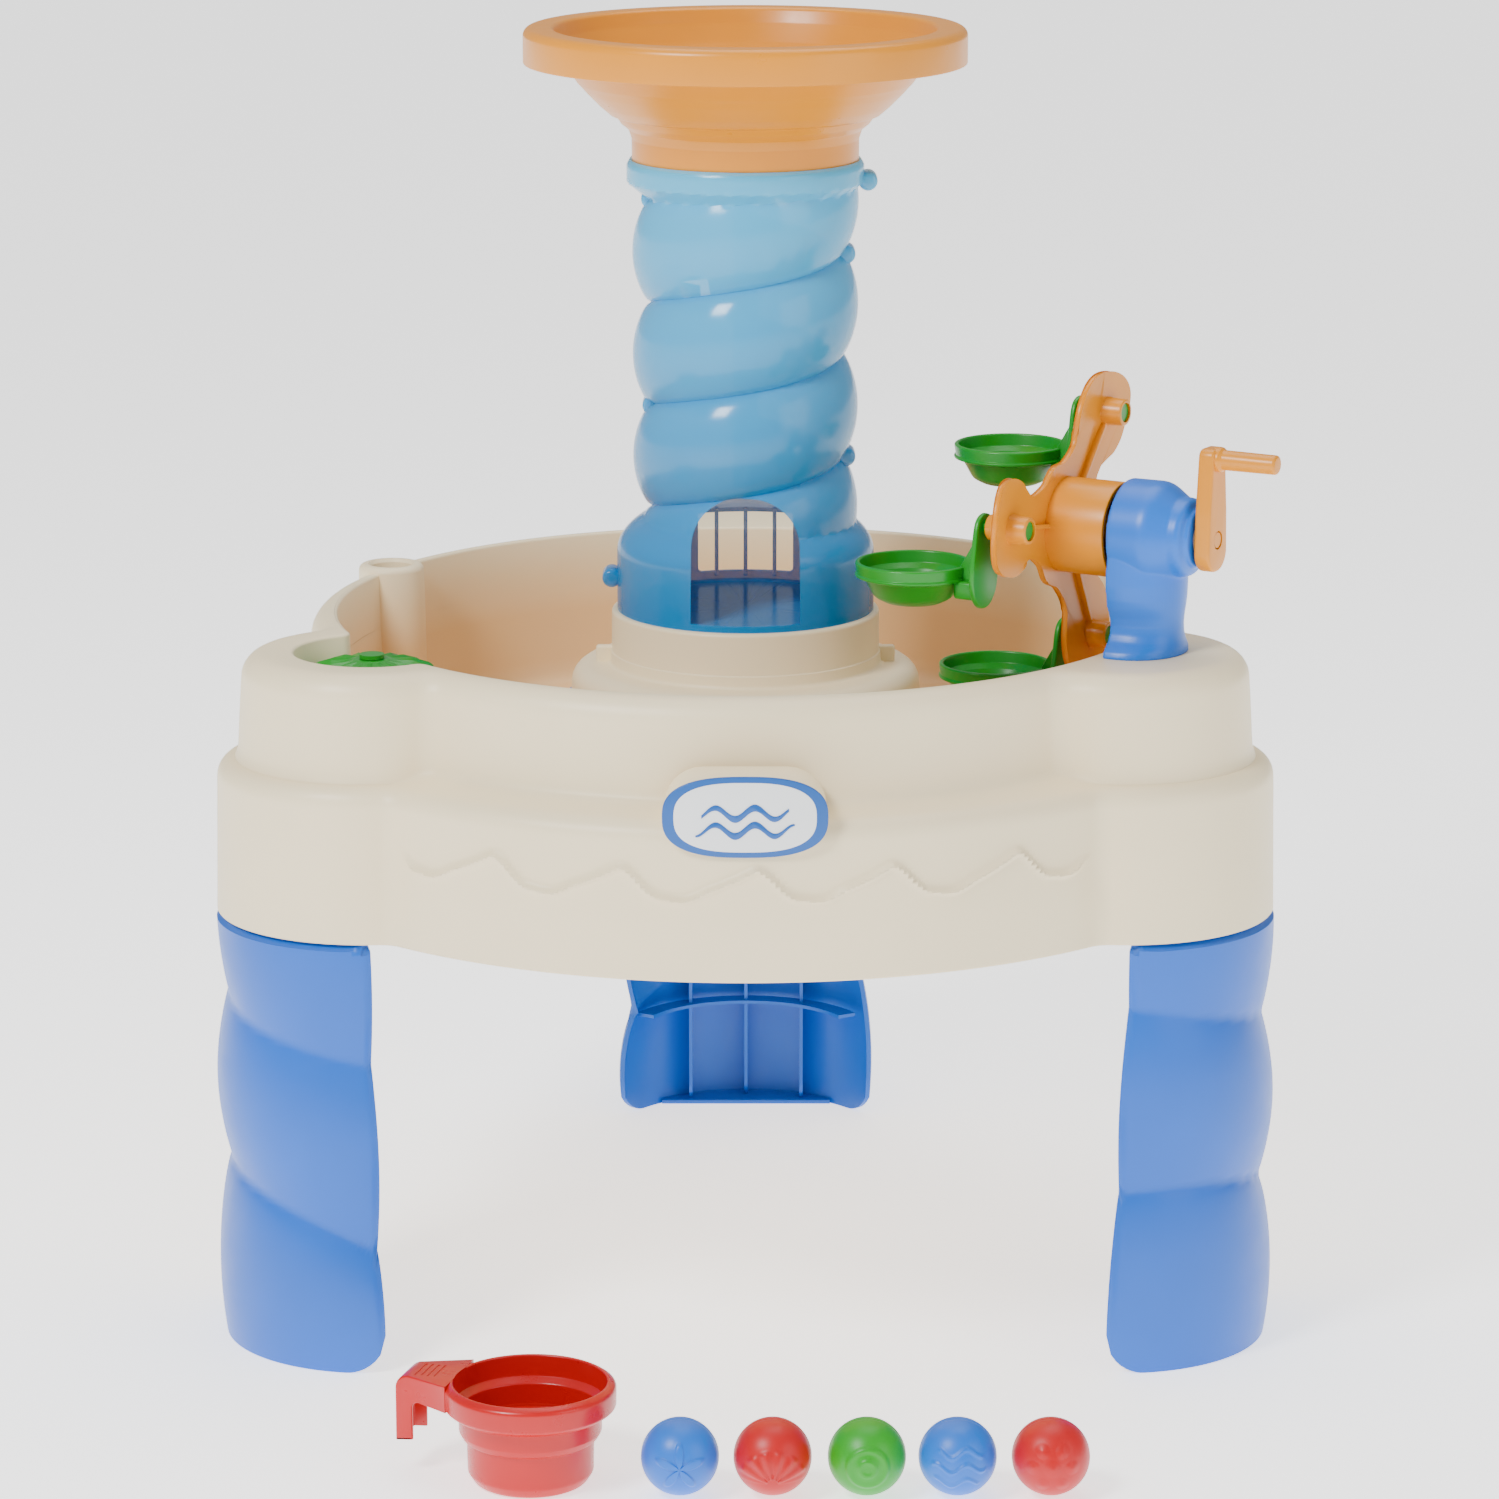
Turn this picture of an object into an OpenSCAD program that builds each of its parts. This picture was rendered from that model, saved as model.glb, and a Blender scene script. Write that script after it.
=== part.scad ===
// Sand and water table: a lobed basin on three legs, with a spiral ball tower
// under a funnel, a crank-driven wheel of hanging cups, a spinner, a scoop
// and five balls. Millimetres, +Z up, origin on the ground under the tower.

/* [Tray] */
// Radius of the basin's inner wall
basin_r = 303; // [296:1:306]
// Radius of the rim's outside
rim_r = 323; // [318:1:330]
// Radius of the skirt below the step
skirt_r = 365; // [358:1:370]
// Radius of each lobe below the step
lobe_r = 113; // [110:1:116]
// Radius of each lobe above the step
lobe_top_r = 94; // [90:1:98]
// Distance from the middle to each lobe's centre
lobe_at = 311; // [308:1:314]
// Height of the rim
rim_z = 508; // [500:1:520]
// Height of the step round the outside
step_z = 434; // [428:1:440]
// Height of the skirt's lower edge
skirt_z = 319; // [310:1:325]
// Height of the basin's floor
floor_z = 390; // [384:1:396]
// Wall thickness of the tray
tray_wall = 4; // [3:0.5:6]
// Radius of the pedestal under the tower
pedestal_r = 99.5; // [98:0.5:102]
// Radius of the pedestal's lower tier
tier_r = 129; // [124:1:132]
// Height of the pedestal's lower tier
tier_z = 466; // [460:1:470]
// Radius of the round pocket that holds the spinner
pocket_r = 56; // [54:1:58]
// Radius of the accessory socket in the rim
socket_r = 16; // [14:0.5:18]

/* [Legs] */
// Radius of a leg's shell at its necks
leg_neck_r = 106; // [104:1:107]
// Extra radius of a leg's bulges
leg_bulge = 11; // [8:1:12]
// Angle that a leg's shell covers
leg_arc = 132; // [120:2:140]
// Wall thickness of a leg
leg_wall = 5; // [4:0.5:6]

/* [Tower] */
// Height of one turn of the spiral
pitch = 76; // [74:1:78]
// Radius of the tower's bulges
bulge_r = 83; // [81:1:84]
// Radius of the tower's groove
groove_r = 68; // [67:1:70]
// Height of the tower's top
tower_top = 842; // [840:1:844]
// Wall thickness of the tower
tower_wall = 3; // [2.5:0.5:3.5]
// Radius of the balls
ball_r = 27.7; // [25:0.1:28]

/* [Funnel] */
// Radius of the funnel's rim
funnel_r = 162; // [155:1:165]
// Height of the funnel's crest
funnel_top = 938; // [930:1:940]
// Radius of the funnel's throat
throat_r = 31; // [30:0.5:34]

/* [Wheel] */
// Direction of the wheel's axis, seen from above
wheel_dir = -30; // [-30:1:-30]
// Height of the wheel's axis
wheel_z = 594; // [590:1:598]
// Sideways offset of the wheel's axis from the tower's axis
wheel_side = 7; // [0:1:10]
// Distance from the wheel's axis to each cup's pin
pivot_r = 93.5; // [90:0.5:94]
// Turn of the first arm at rest, from level
first_arm = 52.5; // [0:0.5:119]
// Rim radius of a hanging cup
cup_r = 42; // [38:1:42]
// Radius of the wheel's shaft
shaft_r = 8; // [7:0.5:9]
// Radius of each cup's pin
cup_pin_r = 5; // [4:0.5:6]
// Distance from the shaft to the crank's grip
crank_throw = 58; // [50:1:60]

/* [Hidden] */
$fn = 96;
EPS = 0.01;
RUN = 0.05; // radial clearance of a running fit
lobe_dirs = [210, 330, 90];
spinner_dir = 210;
post_dir = 330;
pocket_at = 309.7;
pocket_z = 468;
spinner_r = 49.5;
spinner_pin_r = 5;
socket_dir = 153;
socket_at = 306;
socket_top = 512;
socket_depth = 80;
plug_pos = [-123, 213];
plug_r = 10;
plaque_pos = [0, 437];
leg_top = 345;
foot_w = 158;
leg_fix_at = 92;
leg_fix_turn = 40;
leg_necks = [102, 245];
leg_ribs = [-46, 0, 46];
leg_shelves = [86, 245];
screw_r = 2.5;
groove_turn0 = 774; // height of a groove at direction 0
base_r = 95.4;
collar_r = 87;
collar_z = 823;
ramp_z0 = 603;
ramp_turns = 2.7;
ramp_r = 63.8;
core_r = 9;
lever_dir = 125;
lever_at = 93;
lever_z = [727, 744];
lever_pin_r = 3;
// Stations along the wheel's axis, measured from the tower's axis
cup_x = 188;
bracket_x = [242, 246];
boss_x = [249, 281];
plate_x = [258, 264];
hub_x = [252, 308];
post_x = [312.5, 357];
bush_x = [316, 369];
crank_x = [371, 383];
grip_end = 428;
cup_drop = 30;
scoop_pos = [-146, -479, 0];
scoop_dir = 163;
ball_y = -508;
ball_xs = [-44, 18.6, 82.3, 143.6, 206.6];
ball_colors = ["dodgerblue", "crimson", "limegreen", "dodgerblue", "crimson"];
tower_bosses = [[-69.4, 812.8], [-69.1, 659.9], [-99.4, 530.3], [89.7, 826], [73.8, 772.2], [74.4, 621.7]];

// ---- helpers ----

module at(dir, dist, z = 0) {
  rotate(dir) translate([dist, 0, z]) children();
}

// A flat outline in (Y, Z), extruded from x0 to x1
module along_x(x0, x1) {
  translate([x0, 0, 0]) rotate([90, 0, 90]) linear_extrude(x1 - x0) children();
}

// A rod along X from x0 to x1
module rod_x(r, x0, x1) {
  translate([x0, 0, 0]) rotate([0, 90, 0]) cylinder(r = r, h = x1 - x0);
}

module capsule(length, r) {
  for (s = [-1, 1]) translate([s * (length / 2 - r), 0]) circle(r = r);
  square([length - 2 * r, 2 * r], center = true);
}

// A closed skin between two grids of points, rows by columns
module skin(over, under, cols) {
  rows = len(over) / cols;
  under_at = len(over);
  function quad(a, b, c, d) = [[a, b, c], [a, c, d]];
  function o(i, j) = i * cols + j;
  function u(i, j) = under_at + i * cols + j;
  grid = [for (i = [0:rows - 2], j = [0:cols - 2]) each concat(
    quad(o(i, j), o(i, j + 1), o(i + 1, j + 1), o(i + 1, j)),
    quad(u(i, j), u(i + 1, j), u(i + 1, j + 1), u(i, j + 1)))];
  last = cols - 1;
  sides = [for (i = [0:rows - 2]) each concat(
    quad(o(i, 0), o(i + 1, 0), u(i + 1, 0), u(i, 0)),
    quad(o(i, last), u(i, last), u(i + 1, last), o(i + 1, last)))];
  end = rows - 1;
  ends = [for (j = [0:cols - 2]) each concat(
    quad(o(0, j), u(0, j), u(0, j + 1), o(0, j + 1)),
    quad(o(end, j), o(end, j + 1), u(end, j + 1), u(end, j)))];
  polyhedron(concat(over, under), concat(grid, sides, ends));
}

// ---- tray ----

module lobed(main_r, round_r) {
  circle(r = main_r);
  for (a = lobe_dirs) rotate(a) translate([lobe_at, 0]) circle(r = round_r);
}

// The tray's outside, or the same form moved in by its wall
module tray_block(inset) {
  foot = inset > 0 ? 1 : 0;
  translate([0, 0, skirt_z - foot])
    linear_extrude(step_z - skirt_z - inset + foot) lobed(skirt_r - inset, lobe_r - inset);
  translate([0, 0, step_z - inset - 1])
    linear_extrude(rim_z - step_z + 1) lobed(rim_r - inset, lobe_top_r - inset);
}

module leg_fixings() {
  for (a = lobe_dirs, s = [-1, 1]) at(a, lobe_at) at(s * leg_fix_turn, leg_fix_at) children();
}

module post_fixings() {
  for (s = [-1, 1]) at(post_dir, 335) translate([0, wheel_side + s * 25, 0]) children();
}

module pedestal(inset) {
  low = floor_z - tray_wall - (inset > 0 ? 1 : 0);
  translate([0, 0, low]) cylinder(r = tier_r - inset, h = tier_z - inset - low);
  translate([0, 0, low]) cylinder(r = pedestal_r - inset, h = rim_z - 1 - inset - low);
}

module plaque_outline(grow) {
  translate(plaque_pos) capsule(114 + 2 * grow, 28.5 + grow);
}

module tray() color("wheat") difference() {
  union() {
    difference() {
      tray_block(0);
      tray_block(tray_wall);
    }
    translate([0, 0, floor_z - tray_wall]) cylinder(r = basin_r + tray_wall, h = rim_z - floor_z + tray_wall);
    at(spinner_dir, pocket_at, floor_z) cylinder(r = pocket_r + tray_wall, h = rim_z - floor_z);
    at(socket_dir, socket_at, floor_z) cylinder(r = socket_r + 9, h = socket_top - floor_z);
    leg_fixings() translate([0, 0, leg_top]) cylinder(r = 8, h = 95);
    post_fixings() translate([0, 0, 480]) cylinder(r = 6, h = 25);
    // Pad behind the plaque, across the step
    translate([0, -330, 0]) rotate([90, 0, 0]) linear_extrude(36) plaque_outline(-1.5);
  }
  difference() {
    translate([0, 0, floor_z]) cylinder(r = basin_r, h = rim_z);
    pedestal(0);
    at(spinner_dir, pocket_at) cylinder(r = pocket_r + tray_wall, h = pocket_z);
    at(socket_dir, socket_at) cylinder(r = socket_r + 9, h = socket_top);
  }
  pedestal(tray_wall);
  at(spinner_dir, pocket_at, pocket_z) cylinder(r = pocket_r, h = 100);
  at(spinner_dir, pocket_at, pocket_z - 25) cylinder(r = spinner_pin_r, h = 60);
  at(socket_dir, socket_at, socket_top - socket_depth) cylinder(r = socket_r, h = socket_depth + 1);
  translate([plug_pos.x, plug_pos.y, floor_z - tray_wall - 1]) cylinder(r = plug_r, h = tray_wall + 2);
  leg_fixings() translate([0, 0, leg_top - 1]) cylinder(r = screw_r, h = 22);
  post_fixings() translate([0, 0, 485]) cylinder(r = screw_r, h = 30);
}

module front_plaque() color("royalblue")
  translate([0, -366, 0]) rotate([90, 0, 0]) linear_extrude(3) plaque_outline(0);

// ---- legs ----

function leg_r(z) =
  z > 300 ? 104 :
  leg_neck_r + leg_bulge * pow(abs(sin(180 * (z - leg_necks[0]) / (leg_necks[1] - leg_necks[0]))), 0.8)
    * (z > leg_necks[1] ? 0.7 : 1);

module leg_form(inset, z0, z1) {
  outline = [for (z = [0:5:leg_top]) [leg_r(z) - inset, z]];
  intersection() {
    rotate_extrude() polygon(concat([[0, 0]], outline, [[0, leg_top]]));
    translate([0, 0, z0]) cylinder(r = 200, h = z1 - z0);
  }
}

module leg(dir) color("dodgerblue") at(dir, lobe_at) {
  outline = [for (z = [0:5:leg_top]) [leg_r(z), z]];
  back = [for (z = [leg_top:-5:0]) [leg_r(z) - leg_wall, z]];
  difference() {
    union() {
      rotate(-leg_arc / 2) rotate_extrude(angle = leg_arc) polygon(concat(outline, back));
      rotate(-leg_arc / 2) rotate_extrude(angle = leg_arc) translate([62, leg_top - 6]) square([40, 6]);
      for (z = leg_shelves) rotate(-leg_arc / 2) rotate_extrude(angle = leg_arc)
        translate([76, z - 2]) square([leg_r(z) - 79, 4]);
      // Foot plate, straight in front
      intersection() {
        leg_form(1, 0, 4);
        translate([43, -foot_w / 2, 0]) cube([80, foot_w, 4]);
      }
      intersection() {
        leg_form(leg_wall / 2, 0, leg_top);
        for (y = leg_ribs) translate([62, y - 2, 0]) cube([60, 4, leg_top]);
      }
    }
    for (s = [-1, 1]) at(s * leg_fix_turn, leg_fix_at) translate([0, 0, leg_top - 40]) {
      cylinder(r = screw_r, h = 60);
      cylinder(r = 6, h = 34);
    }
  }
}

module leg_left() leg(lobe_dirs[0]);
module leg_right() leg(lobe_dirs[1]);
module leg_rear() leg(lobe_dirs[2]);

module leg_screws() color("silver") leg_fixings() {
  translate([0, 0, leg_top - 9]) cylinder(r = 4.5, h = 3);
  translate([0, 0, leg_top - 6]) cylinder(r = screw_r, h = 25);
}

// ---- tower ----

function groove_phase(a, z) = 180 * (z - groove_turn0 - pitch * a / 360) / pitch;
function spiral_r(a, z) = groove_r + (bulge_r - groove_r) * pow(abs(sin(groove_phase(a, z))), 0.7);
function skirt_edge(z) = z < 550 ? base_r : z > 594 ? 0 : base_r * sqrt(1 - pow((z - 550) / 45, 2));
function tower_r(a, z) = z > collar_z ? collar_r : max(spiral_r(a, z), skirt_edge(z));
function ring_point(a, r, z) = [r * cos(a), r * sin(a), z];

module tower_half(start) {
  heights = [for (z = [rim_z - 1:5:tower_top - 5]) z, tower_top];
  angles = [start:10:start + 180];
  over = [for (a = angles, z = heights) ring_point(a, tower_r(a, z), z)];
  under = [for (a = angles, z = heights) ring_point(a, tower_r(a, z) - tower_wall, z)];
  skin(over, under, len(heights));
}

// A tube round each tower screw, from y0 to y1
module screw_tubes(r, y0, y1) {
  for (p = tower_bosses) translate([p.x, y1, p.y]) rotate([90, 0, 0]) cylinder(r = r, h = y1 - y0);
}

module tower_front() color("deepskyblue", 0.6) difference() {
  union() {
    tower_half(180);
    screw_tubes(6, -11, 0);
  }
  screw_tubes(2, -9, 1);
  translate([0, -60, 0]) rotate([90, 0, 0]) linear_extrude(60) {
    translate([-41, rim_z + 4]) square([82, 51]);
    translate([0, rim_z + 55]) circle(r = 41);
  }
}

module tower_back() color("deepskyblue", 0.6) difference() {
  union() {
    difference() {
      union() {
        tower_half(0);
        screw_tubes(6, 0, 11);
        // Floor of the tower, inside both halves
        translate([0, 0, rim_z - 1]) cylinder(r = base_r - tower_wall - 0.5, h = 3);
        translate([0, 0, rim_z - 1]) intersection() {
          cylinder(r = base_r - tower_wall + 1, h = 3);
          translate([-100, 0.5, 0]) cube([200, 100, 3]);
        }
      }
      translate([-36, 60, 516]) cube([72, 60, 46]);
    }
    for (x = [-22, 0, 22]) translate([x - 1.5, 84, 514]) cube([3, 9.5, 50]);
    for (z = [[720, 726], [745, 751]]) at(lever_dir, 66, z[0]) translate([0, -9, 0]) cube([36, 18, z[1] - z[0]]);
  }
  screw_tubes(2, -1, 20);
  screw_tubes(4.4, 11, 25);
  at(lever_dir, lever_at, 700) cylinder(r = lever_pin_r, h = 80);
  at(lever_dir, 50, 729) translate([0, -20, 0]) cube([35, 27, 13]);
}

module tower_screws() color("silver") {
  screw_tubes(2, -9, 11);
  screw_tubes(4, 11, 14);
}

module spiral_ramp() color("lightskyblue") {
  steps = ramp_turns * 24;
  turns = [for (i = [0:steps]) i / 24];
  over = [for (t = turns, r = [ramp_r, core_r - 1]) ring_point(270 + 360 * t, r, ramp_z0 + pitch * t)];
  under = [for (p = over) p - [0, 0, 3]];
  skin(over, under, 2);
  translate([0, 0, ramp_z0 - 6]) cylinder(r = core_r, h = pitch * ramp_turns + 25);
}

module gate_lever() color("orange") difference() {
  height = lever_z[1] - lever_z[0];
  union() {
    at(lever_dir, lever_at, lever_z[0]) {
      cylinder(r = 7.5, h = height);
      translate([-31, -2.5, 4]) cube([31, 5, height - 8]);
    }
    translate([-71.5, 72, lever_z[0]]) cube([18, 8, height]);
  }
  at(lever_dir, lever_at, 700) cylinder(r = lever_pin_r + RUN, h = 80);
}

module lever_pin() color("silver") at(lever_dir, lever_at, 720) cylinder(r = lever_pin_r, h = 31);

// ---- funnel ----

module funnel() color("orange") rotate_extrude() polygon([
  // Outside, from the neck up to the turned-down lip
  [83, 832], [83, 856], [85, 863], [94, 872], [100, 876], [111, 885], [118.5, 894], [122, 898],
  [134, 914], [142, 929], [145, 932.5], [funnel_r - 7, 932.5], [funnel_r - 3, 929], [funnel_r - 3, 912],
  [funnel_r, 912], [funnel_r, funnel_top - 5], [funnel_r - 5, funnel_top],
  // Bowl and throat
  [143, funnel_top], [139, 933], [130, 916], [118, 899], [107, 886], [96, 877.5], [80, 868], [60, 862],
  [throat_r + 3, 858], [throat_r, 855], [throat_r, 851], [throat_r + 3, 851], [60, 857], [79, 863], [79, 832]
]);

// ---- small basin parts ----

module spinner() color("limegreen") at(spinner_dir, pocket_at) rotate_extrude() polygon([
  [spinner_pin_r + RUN, pocket_z + 1], [9, pocket_z + 1], [9, 497], [29, 495.5], [43, 491],
  [spinner_r - 3, 486], [spinner_r - 3, pocket_z + 4], [spinner_r, pocket_z + 4], [spinner_r, 488],
  [45, 494], [30, 499], [12, 501.5], [spinner_pin_r + RUN, 501.5]
]);

module spinner_pin() color("silver") at(spinner_dir, pocket_at) {
  translate([0, 0, pocket_z - 25]) cylinder(r = spinner_pin_r, h = 60);
  translate([0, 0, 502]) cylinder(r = 9, h = 3);
}

module drain_plug() color("dodgerblue") translate([plug_pos.x, plug_pos.y, 0]) {
  translate([0, 0, floor_z - 12]) cylinder(r = plug_r - RUN, h = 14);
  translate([0, 0, floor_z + 2]) cylinder(r = 16, h = 4);
  translate([-12, -2, floor_z + 5]) cube([24, 4, 15]);
}

module plug_seal() color("black") translate([plug_pos.x, plug_pos.y, floor_z]) difference() {
  cylinder(r = 14, h = 2);
  translate([0, 0, -1]) cylinder(r = plug_r - RUN, h = 4);
}

// ---- wheel post ----

// Places its children at the wheel's axis, +X along the axis
module on_wheel() {
  rotate(wheel_dir) translate([0, wheel_side, wheel_z]) children();
}

// The post's outline in (Y, Z) from the wheel's axis, moved in by inset
module post_outline(inset) {
  foot = rim_z - wheel_z + inset;
  circle(r = 38 - inset);
  polygon([
    [inset - 40.5, foot], [40.5 - inset, foot], [38 - inset, -78], [29.5 - inset, -71], [28 - inset, -62],
    [34.5 - inset, -46], [36 - inset, -32], [36 - inset, 0], [inset - 36, 0], [inset - 36, -32],
    [inset - 34.5, -46], [inset - 28, -62], [inset - 29.5, -71], [inset - 38, -78]
  ]);
}

module wheel_post() color("cornflowerblue") difference() {
  on_wheel() {
    difference() {
      along_x(post_x[0], post_x[1]) post_outline(0);
      along_x(post_x[0] - 1, post_x[1] - 5) post_outline(5);
    }
    rod_x(17, post_x[0], post_x[1]);
    rod_x(28, post_x[1] - 1, 365);
    rod_x(22, 364, bush_x[1]);
  }
  on_wheel() rod_x(12, post_x[0] - 1, bush_x[1] + 1);
  post_fixings() translate([0, 0, rim_z - 1]) cylinder(r = screw_r, h = 10);
}

module post_screws() color("silver") post_fixings() {
  translate([0, 0, 485]) cylinder(r = screw_r, h = rim_z + 5 - 485);
  translate([0, 0, rim_z + 5]) cylinder(r = 4.5, h = 3);
}

module wheel_bush() color("white") on_wheel() difference() {
  rod_x(12, bush_x[0], bush_x[1]);
  rod_x(shaft_r + RUN, bush_x[0] - 1, bush_x[1] + 1);
}

// ---- wheel ----

function pivot(i) = [0, pivot_r * cos(first_arm + 120 * i), pivot_r * sin(first_arm + 120 * i)];

module wheel_spider() color("orange") on_wheel() difference() {
  union() {
    difference() {
      rod_x(34.5, hub_x[0], hub_x[1]);
      rod_x(31, plate_x[1], hub_x[1] + 1);
    }
    rod_x(14, hub_x[0], hub_x[1]);
    for (i = [0:2]) rotate([first_arm + 120 * i, 0, 0]) {
      along_x(plate_x[0], plate_x[1]) translate([70, 0]) square([60, 26], center = true);
      along_x(plate_x[0], plate_x[1]) translate([pivot_r - 2, 0]) {
        rotate(90) capsule(68, 18);
        circle(r = 27);
      }
      translate([boss_x[0] + 2, 32, -2]) cube([boss_x[1] - boss_x[0] - 8, 58, 4]);
      translate([0, pivot_r, 0]) rod_x(10, boss_x[0], boss_x[1]);
    }
  }
  rod_x(shaft_r, plate_x[0], hub_x[1] + 1);
  rod_x(screw_r, hub_x[0] - 1, hub_x[1]);
  for (i = [0:2]) translate(pivot(i)) {
    rod_x(cup_pin_r + RUN, boss_x[0] - 1, boss_x[1] + 1);
    rod_x(7.2, boss_x[1] - 8, boss_x[1] + 1);
  }
}

module wheel_shaft() color("silver") on_wheel() difference() {
  rod_x(shaft_r, plate_x[0], crank_x[1] - 3);
  rod_x(screw_r, plate_x[0] - 1, plate_x[0] + 20);
  rod_x(screw_r, crank_x[1] - 20, crank_x[1]);
}

module hub_screw() color("silver") on_wheel() {
  rod_x(4.5, hub_x[0] - 3, hub_x[0]);
  rod_x(screw_r, hub_x[0], plate_x[0] + 20);
}

module crank() color("orange") on_wheel() difference() {
  union() {
    along_x(crank_x[0], crank_x[1]) {
      translate([0, -7]) circle(r = 16);
      translate([-10, crank_throw - 12]) square([20, 20]);
      polygon([[-16, -7], [16, -7], [10, crank_throw - 10], [-10, crank_throw - 10]]);
    }
    translate([0, 0, crank_throw]) rod_x(7, crank_x[1] - 1, grip_end);
  }
  rod_x(shaft_r, crank_x[0] - 1, crank_x[1] - 3);
  rod_x(6.5, crank_x[1] - 3 - EPS, crank_x[1] + 1);
}

module crank_screw() color("silver") on_wheel() {
  rod_x(5.5, crank_x[1] - 3, crank_x[1] - 0.5);
  rod_x(screw_r, crank_x[1] - 20, crank_x[1] - 3);
}

module cup(i) color("limegreen") on_wheel() translate(pivot(i)) {
  translate([cup_x, 0, -cup_drop]) rotate_extrude() polygon([
    [0, -30], [24, -30], [31, -25], [36, -10], [39.5, -9], [cup_r, -7], [cup_r, 0],
    [cup_r - 3, 0], [cup_r - 4, -7], [33.5, -10], [28.5, -23.5], [23, -27], [0, -27]
  ]);
  along_x(bracket_x[0], bracket_x[1]) translate([0, -10]) capsule(67, 20);
  translate([cup_x + cup_r - 3, -6, -cup_drop - 8]) cube([bracket_x[0] - cup_x - cup_r + 4, 12, 8]);
  rod_x(cup_pin_r, bracket_x[1] - 1, boss_x[1] - 2.5);
}

module cup_cap(i) color("limegreen") on_wheel() translate(pivot(i)) difference() {
  rod_x(6.6, boss_x[1] - 6.7, boss_x[1] - 1.5);
  rod_x(cup_pin_r, boss_x[1] - 7, boss_x[1] - 2.5);
}

module cup_1() cup(0);
module cup_2() cup(1);
module cup_3() cup(2);
module cup_cap_1() cup_cap(0);
module cup_cap_2() cup_cap(1);
module cup_cap_3() cup_cap(2);

// ---- loose toys ----

module scoop() color("red") translate(scoop_pos) difference() {
  union() {
    rotate_extrude() polygon([
      [0, 0], [39, 0], [43, 5], [43, 32], [46.5, 33], [48.8, 36], [48.8, 49.5], [54, 50.5], [58.8, 55],
      [58.8, 67], [56, 71], [52.8, 71], [51.8, 56], [46, 52], [46, 37], [40.6, 34.5], [40.2, 6], [38, 3], [0, 3]
    ]);
    // Arm and hook of the handle, a channel open below and inside
    rotate(scoop_dir) {
      translate([53, -16, 51]) cube([39, 32, 20]);
      translate([80, -16, 24]) cube([12, 32, 47]);
    }
  }
  rotate(scoop_dir) {
    translate([61, -13.5, 48]) cube([28.5, 27, 20.5]);
    translate([77, -13.5, 23]) cube([12.5, 27, 45.5]);
  }
}

module ball(i) color(ball_colors[i - 1]) translate([ball_xs[i - 1], ball_y, ball_r]) sphere(r = ball_r);

module ball_1() ball(1);
module ball_2() ball(2);
module ball_3() ball(3);
module ball_4() ball(4);
module ball_5() ball(5);

// ---- nodes ----

tray();
front_plaque();
leg_left();
leg_right();
leg_rear();
leg_screws();
tower_front();
tower_back();
spiral_ramp();
tower_screws();
funnel();
gate_lever();
lever_pin();
spinner();
spinner_pin();
drain_plug();
plug_seal();
wheel_post();
post_screws();
wheel_bush();
wheel_spider();
wheel_shaft();
hub_screw();
crank();
crank_screw();
cup_1();
cup_2();
cup_3();
cup_cap_1();
cup_cap_2();
cup_cap_3();
scoop();
ball_1();
ball_2();
ball_3();
ball_4();
ball_5();
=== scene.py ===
"""Sand and water table: the looks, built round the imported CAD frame."""
import math

import bmesh
import bpy
import numpy as np
from mathutils import Matrix, Vector


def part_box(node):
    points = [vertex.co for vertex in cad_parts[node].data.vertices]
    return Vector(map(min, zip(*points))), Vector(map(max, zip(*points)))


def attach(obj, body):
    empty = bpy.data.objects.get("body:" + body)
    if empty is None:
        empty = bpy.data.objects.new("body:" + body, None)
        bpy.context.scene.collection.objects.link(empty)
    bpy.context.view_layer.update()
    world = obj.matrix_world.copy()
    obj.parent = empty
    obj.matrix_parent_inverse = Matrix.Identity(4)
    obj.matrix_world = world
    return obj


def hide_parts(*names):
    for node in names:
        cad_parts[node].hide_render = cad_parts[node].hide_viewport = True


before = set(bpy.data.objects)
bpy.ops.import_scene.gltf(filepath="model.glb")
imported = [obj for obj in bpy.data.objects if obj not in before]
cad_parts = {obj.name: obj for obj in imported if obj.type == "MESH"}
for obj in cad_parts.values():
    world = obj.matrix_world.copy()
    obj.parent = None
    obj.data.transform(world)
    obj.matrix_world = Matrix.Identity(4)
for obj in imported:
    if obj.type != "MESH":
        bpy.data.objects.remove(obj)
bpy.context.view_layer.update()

# ---------------------------------------------------------------- sizes, mm

RIM_Z = 508
SKIRT_Z = 319
FLOOR_Z = 390
BASIN_R = 303.3
LOBE_AT = 311
LOBE_DIRS = (210, 330, 450)
POCKET_AT = 309.7
POCKET_R = 56
POCKET_Z = 468
PEDESTAL_R = 99.5
TIER_R = 129
TIER_Z = 466
SOCKET_DIR = 153
SOCKET_AT = 306
SOCKET_R = 16
PITCH = 76
GROOVE_R = 69.5
BULGE_R = 83
GROOVE_TURN0 = 774
BASE_R = 95.4
COLLAR_R = 87
COLLAR_Z = 823
TOWER_TOP = 842
TOWER_WALL = 3
TOWER_BOSSES = ((-69.4, 812.8), (-69.1, 659.9), (-99.4, 530.3), (89.7, 826), (73.8, 772.2), (74.4, 621.7))
FUNNEL_R = 162
FUNNEL_TOP = 938
WHEEL_DIR = -30
WHEEL_SIDE = 7
WHEEL_Z = 594
PIVOT_R = 93.5
FIRST_ARM = 52.5
CUP_X = 188
CUP_DROP = 30
POST_X = (312.5, 357)
CRANK_X = (371, 383)
CRANK_THROW = 58
GRIP_END = 428
BALL_R = 27.7
SCOOP_POS = (-146, -479)
SCOOP_DIR = 163
SKIRT_R = 366.5
SKIRT_LOBE_R = 113.3
SKIRT_DRAFT = 0.02
PLAQUE_Y = -366
PLAQUE_Z = 437
FLOOR_REACH = 16000
CAMERA_AT = (0.003, -4.013, 1.352)
CAMERA_DOWN = 13.38
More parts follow.
